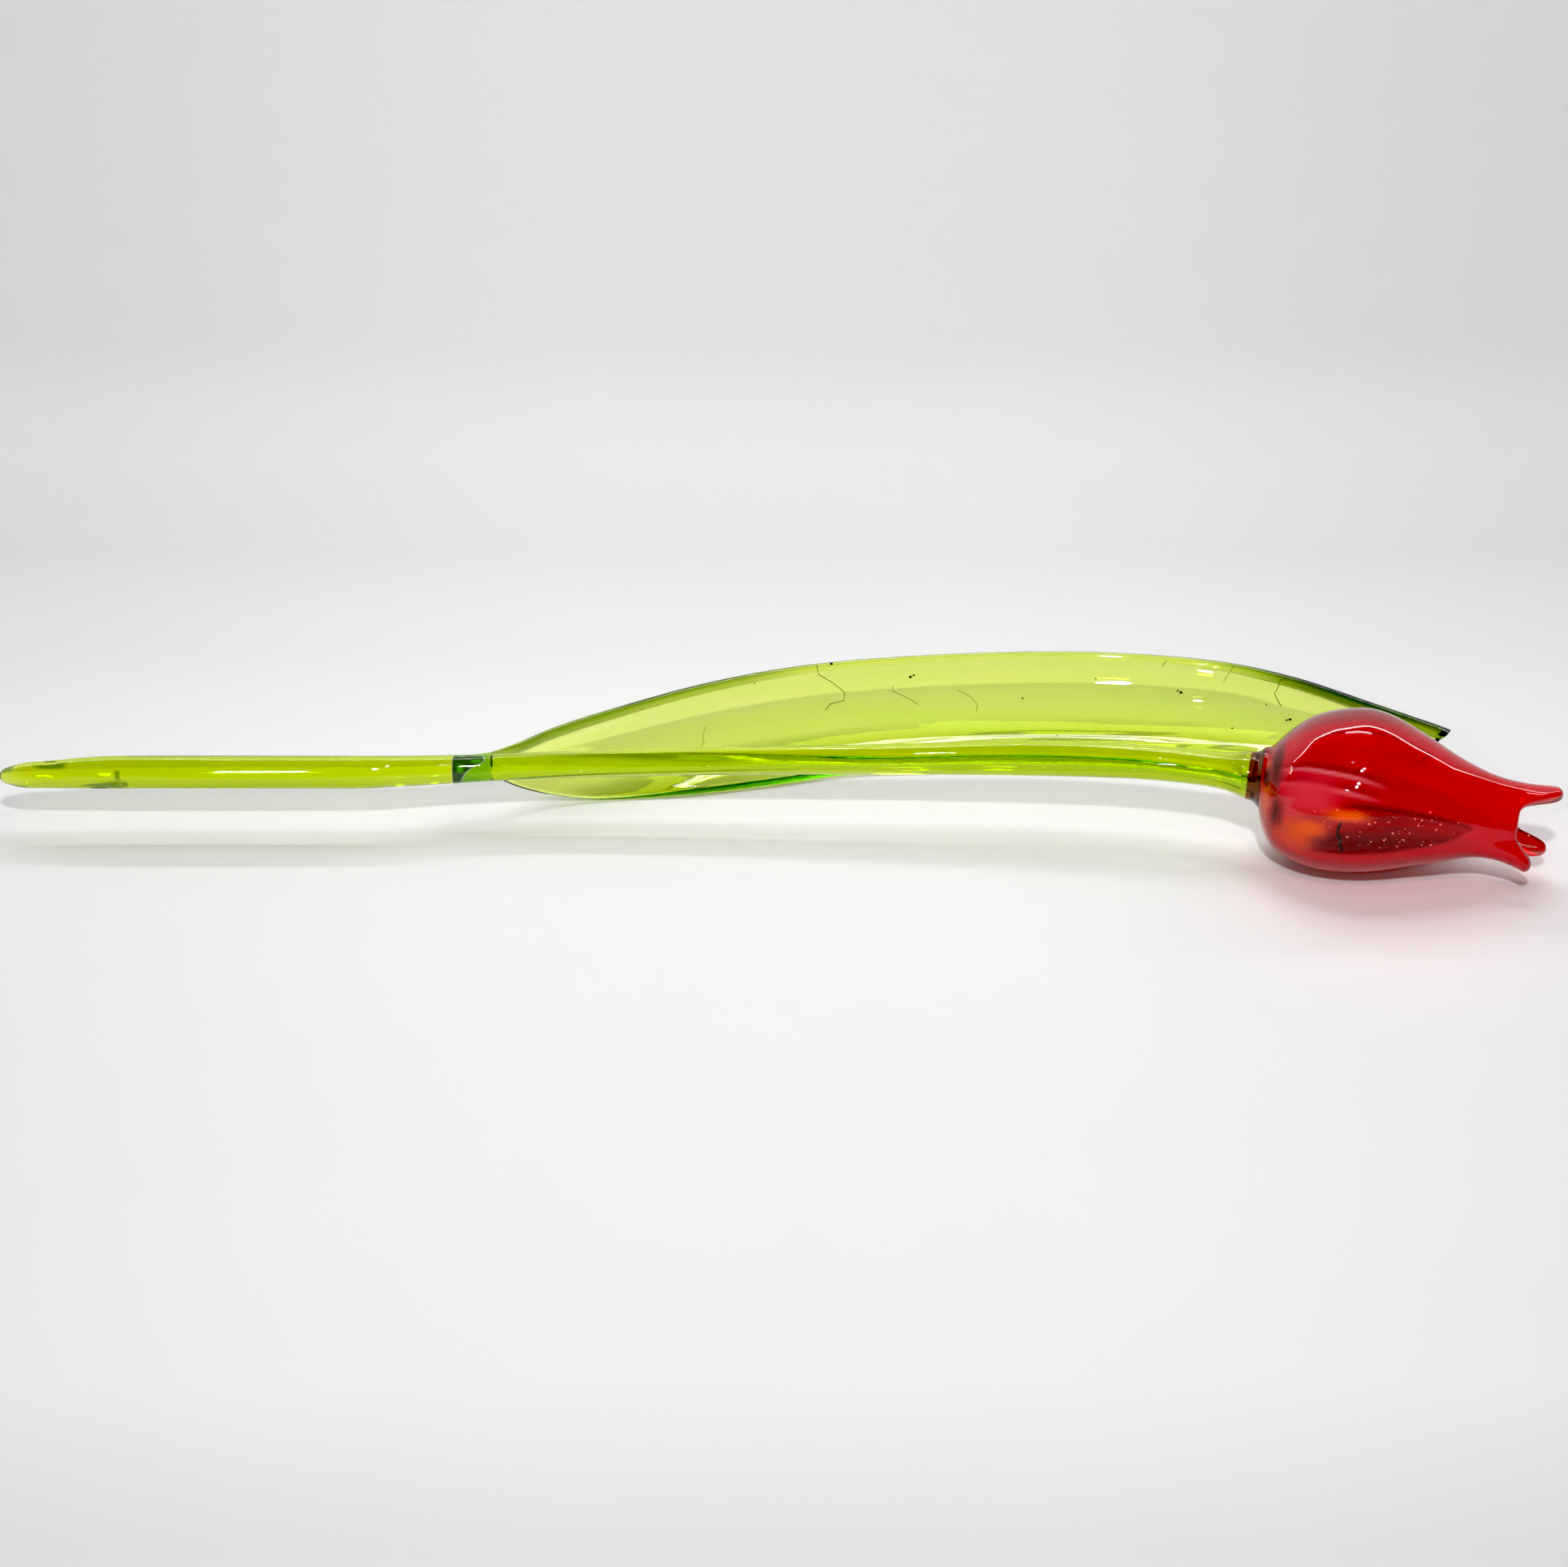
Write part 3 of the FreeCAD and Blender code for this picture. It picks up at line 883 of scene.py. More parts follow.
@dataclass
class Collar:
    """Ring of glass gathered between stem and bloom. Sizes in mm."""

    stem: Stem
    length: float = 4.4
    radius: float = 10.0
    waist: float = 0.8
    ridge_height: float = 0.12
    ridges: int = 3
    joint_gap: float = 0.03
    sides: int = 120
    rows: int = 14

    @property
    def far_centre(self) -> Vector:
        """Centre of the face that carries the bloom, in mm."""
        return self.stem.end_centre + self.stem.bloom_turn @ Vector((self.length, 0, 0))

    def build(self) -> bpy.types.Object:
        """Turn the flared outline about the bloom's axis.

        Returns:
            The collar.
        """
        near, far = self.stem.flare_radius, self.radius
        outline = [(self.joint_gap, 0.0)]
        for share in steps(0, 1, self.rows):
            hollow = self.waist * math.sin(math.pi * share)
            ridge = self.ridge_height * math.sin(math.pi * self.ridges * share) ** 2
            outline.append(
                (
                    self.joint_gap + (self.length - 2 * self.joint_gap) * share,
                    near + (far - near) * share - hollow + ridge,
                )
            )
        outline.append((self.length - self.joint_gap, 0.0))
        bm = bmesh.new()
        verts = [bm.verts.new(Vector((x, 0, radius)) * MM) for x, radius in outline]
        spin_line(bm, verts, self.sides)
        bmesh.ops.rotate(bm, verts=bm.verts, cent=(0, 0, 0), matrix=self.stem.bloom_turn)
        bmesh.ops.translate(bm, verts=bm.verts, vec=self.stem.end_centre * MM)
        return finish_mesh("joining_collar_glass", bm)


@dataclass
class Bloom:
    """Blown hollow cup, creased along one side, its rim pulled into three lips. Sizes in mm."""

    collar: Collar
    length: float = 80.5
    radius: float = 26.65
    wall: float = 5.6
    rim_wall: float = 2.6
    cavity_lift: float = 1.2
    base_wall: float = 5.5
    lip_bead: float = 1.4
    lip_start_share: float = 0.74
    lip_squareness: float = 3.0
    # How late a lip's reach, flare and bead grow
    lip_powers: Row = (1.5, 2.5, 4.0)
    # Creases: first and last turn, width (degrees), first and last share of the length, depth
    creases: tuple[Row, ...] = (
        (33.0, 60.0, 5.5, 0.03, 0.54, 0.6),
        (74.0, 67.0, 6.5, 0.04, 0.52, 0.4),
    )
    # Under 1, the creases wind fastest at the base
    crease_winding: float = 0.7
    # Stains of the skin: the red body and the lips, then the clear window tinted darker as painted shade and
    # the dark line above it, which is painted shade
    red_stain: Row = (0.80, 0.035, 0.05, 0.40)
    lip_stain: Row = (0.76, 0.018, 0.03, 0.55)
    window_clear_and_shade: Row = (0.62, 0.09, 0.09, 0.0)
    line_painted_shade: Row = (0.30, 0.01, 0.01, 0.02)
    # Share of the length where the lips' stain starts, and over which it comes in
    lip_stain_shares: Row = (0.80, 0.16)
    # How softly the window's upper and lower edges fade, in degrees
    window_fade: Row = (2.5, 3.0)
    # The dark line of painted shade: degrees above the window, half width, and the shares where it starts and
    # comes in
    line_turn: float = 2.2
    line_width: float = 2.4
    line_shares: Row = (0.3, 0.1)
    # The clear window in the lower front: along, then its upper and lower turn
    window: tuple[Row, ...] = (
        (0.12, 90.0, 98.0),
        (0.16, 82.0, 112.0),
        (0.30, 75.0, 113.0),
        (0.48, 74.0, 112.0),
        (0.56, 74.0, 111.0),
        (0.67, 75.0, 106.0),
        (0.745, 77.0, 101.0),
        (0.80, 79.0, 93.0),
        (0.84, 83.0, 84.0),
    )
    # Painted highlights along the creases' edges and painted shade beside them: first and last turn, first
    # and last share, width, stain
    crease_painted_edges: tuple[Row, ...] = (
        (40.0, 57.0, 0.04, 0.52, 1.7, 1.0, 0.30, 0.34, 0.62),
        (53.5, 67.0, 0.04, 0.50, 1.8, 1.0, 0.25, 0.29, 0.60),
        (36.5, 53.5, 0.04, 0.52, 2.0, 0.55, 0.02, 0.03, 0.15),
        (49.5, 63.0, 0.04, 0.50, 2.0, 0.55, 0.02, 0.03, 0.15),
    )
    # Patches where the glass is thin and lets the lit paper through, painted light in orange and red, patches
    # of painted shade near the base and a band of painted reflection at the top: along and turn, their
    # widths, then red, green, blue and milkiness
    thin_glass_painted_patches: tuple[Row, ...] = (
        (0.24, 352.0, 0.300, 15.0, 0.50, 0.12, 0.14, 0.28),
        (0.20, 66.0, 0.120, 15.0, 1.0, 0.10, 0.13, 0.50),
        (0.17, 99.0, 0.075, 15.0, 1.0, 0.10, 0.008, 0.60),
        (0.22, 90.0, 0.070, 7.0, 1.0, 0.13, 0.010, 0.70),
        (0.36, 78.5, 0.085, 4.5, 1.0, 0.16, 0.015, 0.75),
        (0.028, 66.0, 0.018, 42.0, 1.0, 0.16, 0.05, 0.60),
        (0.022, 48.0, 0.014, 13.0, 0.30, 0.04, 0.01, 0.05),
        (0.055, 35.0, 0.020, 26.0, 0.50, 0.06, 0.04, 0.05),
        (0.085, 84.0, 0.022, 13.0, 0.25, 0.04, 0.03, 0.0),
    )
    patch_squareness: float = 3.0
    joint_gap: float = 0.03
    sides: int = 180
    outer_rows: int = 96
    inner_rows: int = 84
    rim_rows: int = 8
    # Rings of the base's face, how much closer the outer rings stand at the base, and the spin's seam
    base_levels: Row = (0.0, 0.5, 0.9)
    row_power: float = 1.25
    seam_gap: float = 0.0005
    # Where the cavity's wall turns in to its deep end, in walls of the base, and the rings of that end
    deep_start: float = 1.6
    deep_shares: Row = (0.25, 0.5, 0.75, 0.93)
    # Lips: turn from the top towards the front and width, in degrees, then reach and flare
    lips: tuple[Row, ...] = (
        (-10.0, 33.0, 12.2, 0.6),
        (125.0, 21.0, 5.2, 4.6),
        (202.0, 20.0, 9.8, 2.2),
    )
    wall_shares: tuple[Row, ...] = (
        (0.0, 0.375, 0.0),
        (0.018, 0.478, 0.105),
        (0.050, 0.619, 0.140),
        (0.082, 0.724, 0.135),
        (0.138, 0.841, 0.098),
        (0.190, 0.916, 0.071),
        (0.270, 0.979, 0.041),
        (0.385, 1.000, 0.0),
        (0.491, 0.940, 0.0),
        (0.632, 0.785, 0.035),
        (0.732, 0.668, 0.067),
        (0.857, 0.505, 0.105),
        (0.930, 0.450, 0.115),
        (1.0, 0.432, 0.118),
    )

    def lip_shift(self, turn: float, along: float) -> tuple[float, float, float]:
        """How the lips pull the wall at one place.

        Args:
            turn: degrees from the top towards the front.
            along: share of the bloom's length.

        Returns:
            Reach forwards, flare outwards and extra thickness, in mm.
        """
        grow = max(0.0, (along - self.lip_start_share) / (1 - self.lip_start_share))
        reach = flare = bead = 0.0
        for centre, width, lip_reach, lip_flare in self.lips:
            pull = bump_wave(turn_from(turn, centre), width, self.lip_squareness)
            reach += lip_reach * pull * grow ** self.lip_powers[0]
            flare += lip_flare * pull * grow ** self.lip_powers[1]
            bead += self.lip_bead * pull * grow ** self.lip_powers[2]
        return reach, flare, bead

    def crease(self, turn: float, along: float) -> float:
        """How deep the pressed grooves are at one place.

        Args:
            turn: degrees from the top towards the front.
            along: share of the bloom's length.

        Returns:
            The depth in mm.
        """
        depth = 0.0
        for start, end, width, first, last, deep in self.creases:
            progress = (along - first) / (last - first)
            if 0 < progress < 1:
                centre = start + (end - start) * progress**self.crease_winding
                depth += deep * math.sin(math.pi * progress) * bump_wave(turn_from(turn, centre), width)
        return depth

    def stain_and_shade(self, along: float, turn: float) -> tuple[float, ...]:
        """Colour and milkiness of the outer skin at one place, with its painted highlights and painted shade.

        Args:
            along: share of the bloom's length.
            turn: degrees from the top towards the front.

        Returns:
            Red, green, blue and milkiness.
        """
        first, length = self.lip_stain_shares
        skin = blend(self.red_stain, self.lip_stain, ease((along - first) / length))
        for start, end, first, last, width, *colour in self.crease_painted_edges:
            progress = (along - first) / (last - first)
            if 0 < progress < 1:
                away = turn_from(turn, start + (end - start) * progress)
                skin = blend(skin, colour, math.sin(math.pi * progress) * bump_wave(away, width))
        if self.window[0][0] < along < self.window[-1][0]:
            upper, lower = (value_at(self.window, along, column) for column in (1, 2))
            clear = ease((turn - upper) / self.window_fade[0]) * ease((lower - turn) / self.window_fade[1])
            skin = blend(skin, self.window_clear_and_shade, clear)
            first, length = self.line_shares
            line = bump_wave(turn - upper + self.line_turn, self.line_width) * ease((along - first) / length)
            skin = blend(skin, self.line_painted_shade, line)
        for place, centre, length, width, *colour in self.thin_glass_painted_patches:
            reach = bump_wave(along - place, length, self.patch_squareness)
            across = bump_wave(turn_from(turn, centre), width, self.patch_squareness)
            skin = blend(skin, colour, reach * across)
        return skin

    @property
    def deep_start_share(self) -> float:
        """Share of the length where the cavity's wall turns in to its deep end."""
        return self.base_wall / self.length * self.deep_start

    def glass_at(self, along: float) -> float:
        """Thickness of the wall at one share of the length, in mm."""
        return self.wall + (self.rim_wall - self.wall) * along

    def place(self, along: float, turn: float, inset: float, push: float, level: float) -> Vector:
        """Point of the bloom's skin in its own frame, in mm.

        Args:
            along: share of the bloom's length.
            turn: degrees from the top towards the front.
            inset: 0 on the outer wall and 1 on the cavity.
            push: walls past the rim.
            level: share of the ring's radius, under 1 on the end faces only.

        Returns:
            The point, with the bloom's axis along +X.
        """
        reach, flare, bead = self.lip_shift(turn, along)
        glass = self.glass_at(along) + bead
        out = self.radius * value_at(self.wall_shares, along, 1) + flare + bead * 0.5
        out -= glass * inset + self.crease(turn, along) * (1 - 0.5 * inset)
        drop = self.radius * value_at(self.wall_shares, along, 2)
        drop -= self.cavity_lift * inset * math.sin(math.pi * min(1.0, along)) ** 2
        angle = math.radians(turn)
        x = self.length * along + reach + glass * push
        return Vector((x, -out * level * math.sin(angle), out * level * math.cos(angle) - drop))

    def outline(self) -> list[tuple[float, float, float, float]]:
        """List the rows of the outline, from the base over the rim and into the cavity.

        Returns:
            Rows of along, inset, push and level.
        """
        rows = [(0.0, 0.0, 0.0, level) for level in self.base_levels]
        rows += [(share**self.row_power, 0.0, 0.0, 1.0) for share in steps(0, 1, self.outer_rows)]
        for angle in steps(0, math.pi, self.rim_rows)[1:-1]:
            rows.append((1.0, 0.5 - 0.5 * math.cos(angle), 0.5 * math.sin(angle), 1.0))
        rows += [(share, 1.0, 0.0, 1.0) for share in steps(1, self.deep_start_share, self.inner_rows)]
        return rows

    def build(self) -> bpy.types.Object:
        """Spin the outline about the axis, then work the spun wall into creases and lips.

        Returns:
            The bloom.
        """
        bm = bmesh.new()
        stain_and_shade = bm.verts.layers.float_color.new("stain_and_shade")
        layers = [bm.verts.layers.float.new(name) for name in ("along", "inset", "push", "level")]
        verts = []
        for index, row in enumerate(self.outline()):
            vert = bm.verts.new((index * MM, 0, MM * (1 if row[3] else 0)))
            for layer, value in zip(layers, row):
                vert[layer] = value
            verts.append(vert)
        spin_line(bm, verts, self.sides)
        bmesh.ops.remove_doubles(bm, verts=bm.verts, dist=self.seam_gap * MM)
        turn_matrix = self.collar.stem.bloom_turn
        base = self.collar.far_centre
        for vert in bm.verts:
            turn = math.degrees(math.atan2(-vert.co.y, vert.co.z)) % 360
            along, inset, push, level = (vert[item] for item in layers)
            vert.co = (base + turn_matrix @ self.place(along, turn, inset, push, level)) * MM
            vert[stain_and_shade] = blend(self.stain_and_shade(along, turn), CLEAR_SKIN, ease(inset * 2 - 0.4))
        rims = [edge for edge in bm.edges if edge.is_boundary]
        bottom = bmesh.ops.extrude_edge_only(bm, edges=rims)["geom"]
        inner = [item for item in bottom if isinstance(item, bmesh.types.BMVert)]
        self.close_cavity(bm, inner, base, turn_matrix)
        for vert in bm.verts:
            if not any(vert[stain_and_shade]):
                vert[stain_and_shade] = CLEAR_SKIN
        return finish_mesh("blown_bloom", bm)

    def close_cavity(
        self, bm: bmesh.types.BMesh, verts: list[bmesh.types.BMVert], base: Vector, turn_matrix: Matrix
    ) -> None:
        """Round the cavity's deep end off towards the axis and close it.

        Args:
            bm: the bloom's bmesh.
            verts: the new innermost ring.
            base: centre of the bloom's base, in mm.
            turn_matrix: rotation to the bloom's axis.
        """
        start = self.deep_start_share
        drop = self.radius * value_at(self.wall_shares, start, 2)
        drop -= self.cavity_lift * math.sin(math.pi * start) ** 2
        hub = Vector((self.base_wall, 0, -drop))
        inverse = turn_matrix.inverted()
        rings = {vert: inverse @ (vert.co / MM - base) for vert in verts}
        previous = verts
        for share in self.deep_shares:
            for vert in previous:
                local = rings[vert]
                radial = Vector((0, local.y, local.z + drop)) * math.cos(share * math.pi / 2)
                x = hub.x + (self.length * start - hub.x) * (1 - math.sin(share * math.pi / 2))
                vert.co = (base + turn_matrix @ Vector((x, radial.y, radial.z - drop))) * MM
            rim = (edge for vert in previous for edge in vert.link_edges if edge.is_boundary)
            loop = list(dict.fromkeys(rim))
            if share == self.deep_shares[-1]:
                bmesh.ops.contextual_create(bm, geom=loop)
                return
            grown = bmesh.ops.extrude_edge_only(bm, edges=loop)["geom"]
            fresh = [item for item in grown if isinstance(item, bmesh.types.BMVert)]
            lookup = {tuple(round(value, 9) for value in vert.co): rings[vert] for vert in previous}
            rings = {vert: lookup[tuple(round(value, 9) for value in vert.co)] for vert in fresh}
            previous = fresh


@dataclass
class Leaf:
    """Long trough of green glass with a gathered rim and a sheared tip. Sizes in mm."""

    length: float = 316.3
    height: float = 24.6
    spread: float = 78.1
    curl: float = 37.0
    thickness: float = 2.6
    shear: float = 4.5
    shear_start_share: float = 0.97
    roll: float = 1.2
    roll_width: float = 3.0
    roll_least_share: float = 0.4
    joint_gap: float = 0.03
    across: int = 24
    round_steps: int = 10
    pitch_mm: float = 1.3
    root_rows: int = 16
    # Ripples of the pressed skin: turns across, drift per mm and height in mm
    ripples: tuple[Row, ...] = ((9.0, 0.011, 0.05), (23.0, -0.017, 0.035))
    rim_fade: float = 1.2
    # Deep tint of the gathered rim: along, then red, green and blue, and how wide it is
    rim_tints: tuple[Row, ...] = (
        (0.0, 0.55, 0.62, 0.45, 2.5),
        (0.04, 0.28, 0.38, 0.24, 3.0),
        (0.20, 0.26, 0.36, 0.22, 2.9),
        (0.28, 0.42, 0.52, 0.38, 2.7),
        (0.38, 0.80, 0.86, 0.66, 1.9),
        (0.72, 0.80, 0.86, 0.64, 1.8),
        (0.81, 0.32, 0.44, 0.24, 2.9),
        (0.87, 0.08, 0.14, 0.05, 3.6),
        (1.0, 0.05, 0.10, 0.03, 3.7),
    )
    # Sections: along, lower edge back and up, upper edge back and up, thickness and roll of the rim
    root_shares: tuple[Row, ...] = (
        (0.0, 0.102, 0.650, 0.133, 0.821, 1.30, 0.1),
        (0.5, 0.115, 0.659, 0.135, 0.854, 1.20, 0.1),
        (1.0, 0.130, 0.675, 0.139, 0.894, 1.0, 0.1),
    )
    blade_shares: tuple[Row, ...] = (
        (0.0, 0.130, 0.675, 0.139, 0.894, 1.0, 0.1),
        (0.028, 0.165, 0.431, 0.198, 0.935, 1.10, 0.3),
        (0.060, 0.218, 0.220, 0.304, 0.959, 1.10, 0.5),
        (0.111, 0.257, 0.0675, 0.434, 0.992, 1.0, 0.65),
        (0.204, 0.305, 0.0637, 0.656, 1.000, 1.0, 0.65),
        (0.289, 0.382, 0.0637, 0.806, 1.000, 1.0, 0.5),
        (0.375, 0.473, 0.0657, 0.903, 0.992, 1.0, 0.35),
        (0.508, 0.508, 0.076, 0.980, 0.976, 1.0, 0.2),
        (0.639, 0.508, 0.080, 0.996, 0.967, 1.0, 0.2),
        (0.769, 0.492, 0.110, 0.920, 0.962, 1.0, 0.5),
        (0.852, 0.457, 0.203, 0.775, 0.950, 1.05, 0.9),
        (0.931, 0.386, 0.386, 0.530, 0.950, 1.15, 1.0),
        (1.0, 0.307, 0.671, 0.335, 0.900, 1.25, 1.0),
    )

    def section(self, x: float, row: Row, stem: Stem, lean: float = 0) -> list[Vector]:
        """One closed ring round the glass of the leaf.

        Args:
            x: place along the stem, in mm.
            row: the section's shares, as in blade_shares.
            stem: the stem, whose shank sets the leaf's place.
            lean: slant of a sheared end, in mm.

        Returns:
            The ring's points in metres.
        """
        low = Vector((x, stem.shank_back + self.spread * row[1], self.height * row[2]))
        high = Vector((x, stem.shank_back + self.spread * row[3], self.height * row[4]))
        half = (high - low) / 2
        away = Vector((0, half.z, -half.y)).normalized()
        hub = (low + high) / 2 - away * math.sqrt(self.curl**2 - half.length**2)
        edge = self.thickness * row[5] / 2
        rim = self.roll * row[6]
        reach = self.roll_width * (self.roll_least_share + (1 - self.roll_least_share) * row[6])
        spread_angle = math.asin(half.length / self.curl)
        up = half.normalized()
        crown = 1 - rim / half.length
        shoulder = 1 - reach / half.length

        def skin(share: float, side: float) -> Vector:
            """Point of the glass's skin.

            Args:
                share: place across the leaf, -1 at its lower edge and 1 at its upper edge.
                side: 1 on the outer side and -1 on the inner side.

            Returns:
                The point in mm.
            """
            angle = spread_angle * share
            rise = max(0.0, (share - shoulder) / (crown - shoulder))
            bead = rim * (0.5 - 0.5 * math.cos(math.pi * rise))
            ripple = sum(
                height * math.sin(turns * share + drift * x) for turns, drift, height in self.ripples
            )
            out = self.curl + side * (edge + bead + ripple * (1 - abs(share) ** 6))
            return hub + (away * math.cos(angle) + up * math.sin(angle)) * out

        shares = steps(-1, shoulder, self.across) + steps(shoulder, crown, self.round_steps)[1:]
        ring = [skin(share, 1) for share in shares]
        top, foot = spread_angle * crown, spread_angle
        ring += self.round_edge(
            skin(crown, 1), skin(crown, -1), up * math.cos(top) - away * math.sin(top)
        )
        ring += [skin(share, -1) for share in reversed(shares)]
        ring += self.round_edge(
            skin(-1, -1), skin(-1, 1), -up * math.cos(foot) - away * math.sin(foot)
        )
        if lean:
            turn = Matrix.Rotation(math.asin(lean / (2 * half.length)), 3, away)
            ring = [high + turn @ (point - high) for point in ring]
        return [point * MM for point in ring]

    def round_edge(self, start: Vector, end: Vector, outwards: Vector) -> list[Vector]:
        """Round the glass off between its two sides.

        Args:
            start: last point of the one side.
            end: first point of the other side.
            outwards: direction in which the edge bulges.

        Returns:
            The half round's points, without its ends.
        """
        centre, radius = (start + end) / 2, (end - start).length / 2
        across = (start - end).normalized()
        return [
            centre + (across * math.cos(angle) + outwards * math.sin(angle)) * radius
            for angle in steps(0, math.pi, self.round_steps)[1:-1]
        ]

    def build_blade(self, stem: Stem) -> bpy.types.Object:
        """Draw the leaf out from its root to the sheared tip.

        Args:
            stem: the stem.

        Returns:
            The blade.
        """
        start = stem.joint_start + stem.joint_length - stem.tip_reach + self.joint_gap
        count = int(self.length / self.pitch_mm)
        rings = []
        for along in steps(0, 1, count):
            row = [along] + [value_at(self.blade_shares, along, column) for column in range(1, 7)]
            lean = self.shear * max(0.0, (along - self.shear_start_share) / (1 - self.shear_start_share))
            rings.append(self.section(start + self.length * along, row, stem, lean))
        bm = bmesh.new()
        stain_and_shade = bm.verts.layers.float_color.new("stain_and_shade")
        loft(bm, rings)
        for vert in bm.verts:
            along = (vert.co.x / MM - start) / self.length
            red, green, blue, width = (value_at(self.rim_tints, along, column) for column in (1, 2, 3, 4))
            edge = Vector(
                (
                    stem.shank_back + self.spread * value_at(self.blade_shares, along, 3),
                    self.height * value_at(self.blade_shares, along, 4),
                )
            )
            away = (Vector((vert.co.y, vert.co.z)) / MM - edge).length
            vert[stain_and_shade] = blend(CLEAR_SKIN, (red, green, blue, 0.0), ease((width - away) / self.rim_fade))
        return finish_mesh("leaf_blade_glass", bm)

    def build_root(self, stem: Stem) -> bpy.types.Object:
        """Draw the blunt pad that joins the leaf to the back of the stem.

        Args:
            stem: the stem.

        Returns:
            The pad.
        """
        start = stem.joint_start - stem.tip_reach
        rings = []
        for along in steps(0, 1, self.root_rows):
            row = [along] + [value_at(self.root_shares, along, column) for column in range(1, 7)]
            x = start + (stem.joint_length - self.joint_gap) * along
            rings.append(self.section(x, row, stem))
        bm = bmesh.new()
        loft(bm, rings)
        return finish_mesh("leaf_root_glass", bm)


@dataclass
class Inclusions:
    """Flaws that the furnace left in the glass, each placed where the photograph shows it.

    A place is a pixel of the photograph: the flaw sits a little below the surface seen there.
    Sizes are in mm.
    """

    view: PhotoView
    # Seeds of the bloom: how many, least radius and how much larger the largest are
    seed_count: int = 84
    seed_least: float = 0.12
    seed_growth: float = 0.36
    # Their cloud in the window: middle and spread in columns, top and height in lines
    seed_cloud: Row = (1712, 52, 1000, 46)
    # The column where the cloud is lowest, and how many lines it rises per column to either side
    seed_sag: Row = (1700, 0.05)
    # The few at the shoulder: how many, first column and line, width, height and lines up per column
    shoulder_count: int = 14
    shoulder_patch: Row = (1576, 930, 30, 8, 0.9)
    shoulder_growth: float = 0.1
    # Glass over the seeds, the crack, the specks, the bubbles and the hairs
    seed_depth: float = 0.05
    crack_depth: float = 1.0
    speck_depth: float = 0.1
    bubble_depth: float = 0.3
    hair_depth: float = 0.7
    # Hairs in the leaf: radius, then the pixels that each runs through
    hairs: tuple[tuple[float, tuple[tuple[float, float], ...]], ...] = (
        (0.13, ((1006, 818), (1009, 831), (1026, 841), (1041, 853), (1040, 863), (1023, 867), (1018, 874))),
        (0.10, ((1101, 845), (1099, 851), (1111, 856), (1128, 865), (1132, 868))),
        (0.12, ((1438, 808), (1437, 814), (1432, 821))),
        (0.14, ((1594, 829), (1586, 837), (1577, 839), (1574, 847), (1570, 855), (1573, 861), (1578, 870))),
        (0.08, ((1534, 812), (1521, 818), (1512, 832), (1507, 841))),
        (0.08, ((870, 895), (866, 906), (868, 914), (862, 922))),
        (0.09, ((1180, 850), (1196, 858), (1205, 868), (1203, 876))),
        (0.12, ((850, 966), (856, 971), (864, 969), (872, 967))),
    )
    # Black specks in the leaf: pixel and radius
    specks: tuple[Row, ...] = (
        (1024, 816, 0.62),
        (1122, 834, 0.60),
        (1126, 832, 0.42),
        (1455, 853, 0.62),
        (1451, 851, 0.38),
        (1589, 886, 0.60),
        (1585, 887, 0.42),
        (1518, 897, 0.38),
        (1303, 905, 0.42),
        (1260, 860, 0.38),
        (1350, 836, 0.30),
        (930, 842, 0.30),
        (1560, 868, 0.33),
    )
    # Flattened bubbles in the leaf: pixel, half length and half width
    bubbles: tuple[Row, ...] = (
        (1497, 824, 0.95, 0.35),
        (1540, 866, 0.5, 0.2),
        (1210, 818, 0.5, 0.2),
        (905, 868, 0.5, 0.2),
    )
    # Seeds of the stem near the collar: pixel and radius
    stem_seeds: tuple[Row, ...] = (
        (1531, 944, 0.30),
        (1537, 951, 0.42),
        (1527, 955, 0.22),
        (1519, 939, 0.20),
        (1462, 944, 0.20),
        (1398, 950, 0.22),
        (1287, 946, 0.20),
        (1090, 943, 0.22),
        (873, 944, 0.22),
        (716, 951, 0.25),
    )
    # The crack in the bloom's lower front: pixel and radius
    crack: tuple[Row, ...] = (
        (1652, 1014, 0.30),
        (1650, 1020, 0.62),
        (1647, 1026, 0.42),
        (1649, 1031, 0.85),
        (1651, 1037, 0.55),
        (1650, 1043, 0.80),
        (1653, 1048, 0.45),
        (1653, 1053, 0.25),
    )

    def below(self, tree: BVHTree, column: float, line: float, depth: float) -> Vector | None:
        """Point inside the glass behind a pixel.

        Args:
            tree: the piece's surface.
            column: pixels from the left edge.
            line: pixels from the top edge.
            depth: depth under the surface.

        Returns:
            The point in metres, or None where the line of sight misses the piece.
        """
        found = self.view.hit(tree, column, line)
        return None if found is None else found[0] - found[1] * depth * MM

    def thread(
        self, name: str, tree: BVHTree, line: Sequence[Row], radii: Sequence[float], depth: float
    ) -> bpy.types.Object:
        """Draw one hair of foreign matter through a row of pixels.

        Args:
            name: the hair's name.
            tree: the surface of the piece that holds it.
            line: rows that start with a pixel's column and line.
            radii: the hair's radius at each row.
            depth: how far it lies under the surface.

        Returns:
            The hair.
        """
        found = [self.below(tree, pixel[0], pixel[1], depth) for pixel in line]
        kept = [(point, radius * MM) for point, radius in zip(found, radii) if point is not None]
        rings = thread_rings([point for point, _ in kept], [radius for _, radius in kept], 8)
        bm = bmesh.new()
        loft(bm, rings)
        return finish_mesh(name, bm)

    def grains(self, name: str, tree: BVHTree, rows: Sequence[Row], depth: float) -> bpy.types.Object:
        """Make small grains that sit under a surface.

        Args:
            name: the name of the grains' object.
            tree: the surface of the piece that holds them.
            rows: each grain's pixel, its radius and, for a flattened one, its width.
            depth: glass over each grain.

        Returns:
            All the grains as one object.
        """
        bm = bmesh.new()
        for row in rows:
            point = self.below(tree, row[0], row[1], depth + row[2])
            if point is None:
                continue
            width = row[3] if len(row) > 3 else row[2] * 0.8
            shape = Matrix.Translation(point) @ Matrix.Diagonal((row[2] * MM, width * MM, width * MM, 1.0))
            bmesh.ops.create_icosphere(bm, subdivisions=2, radius=1.0, matrix=shape)
        return finish_mesh(name, bm)

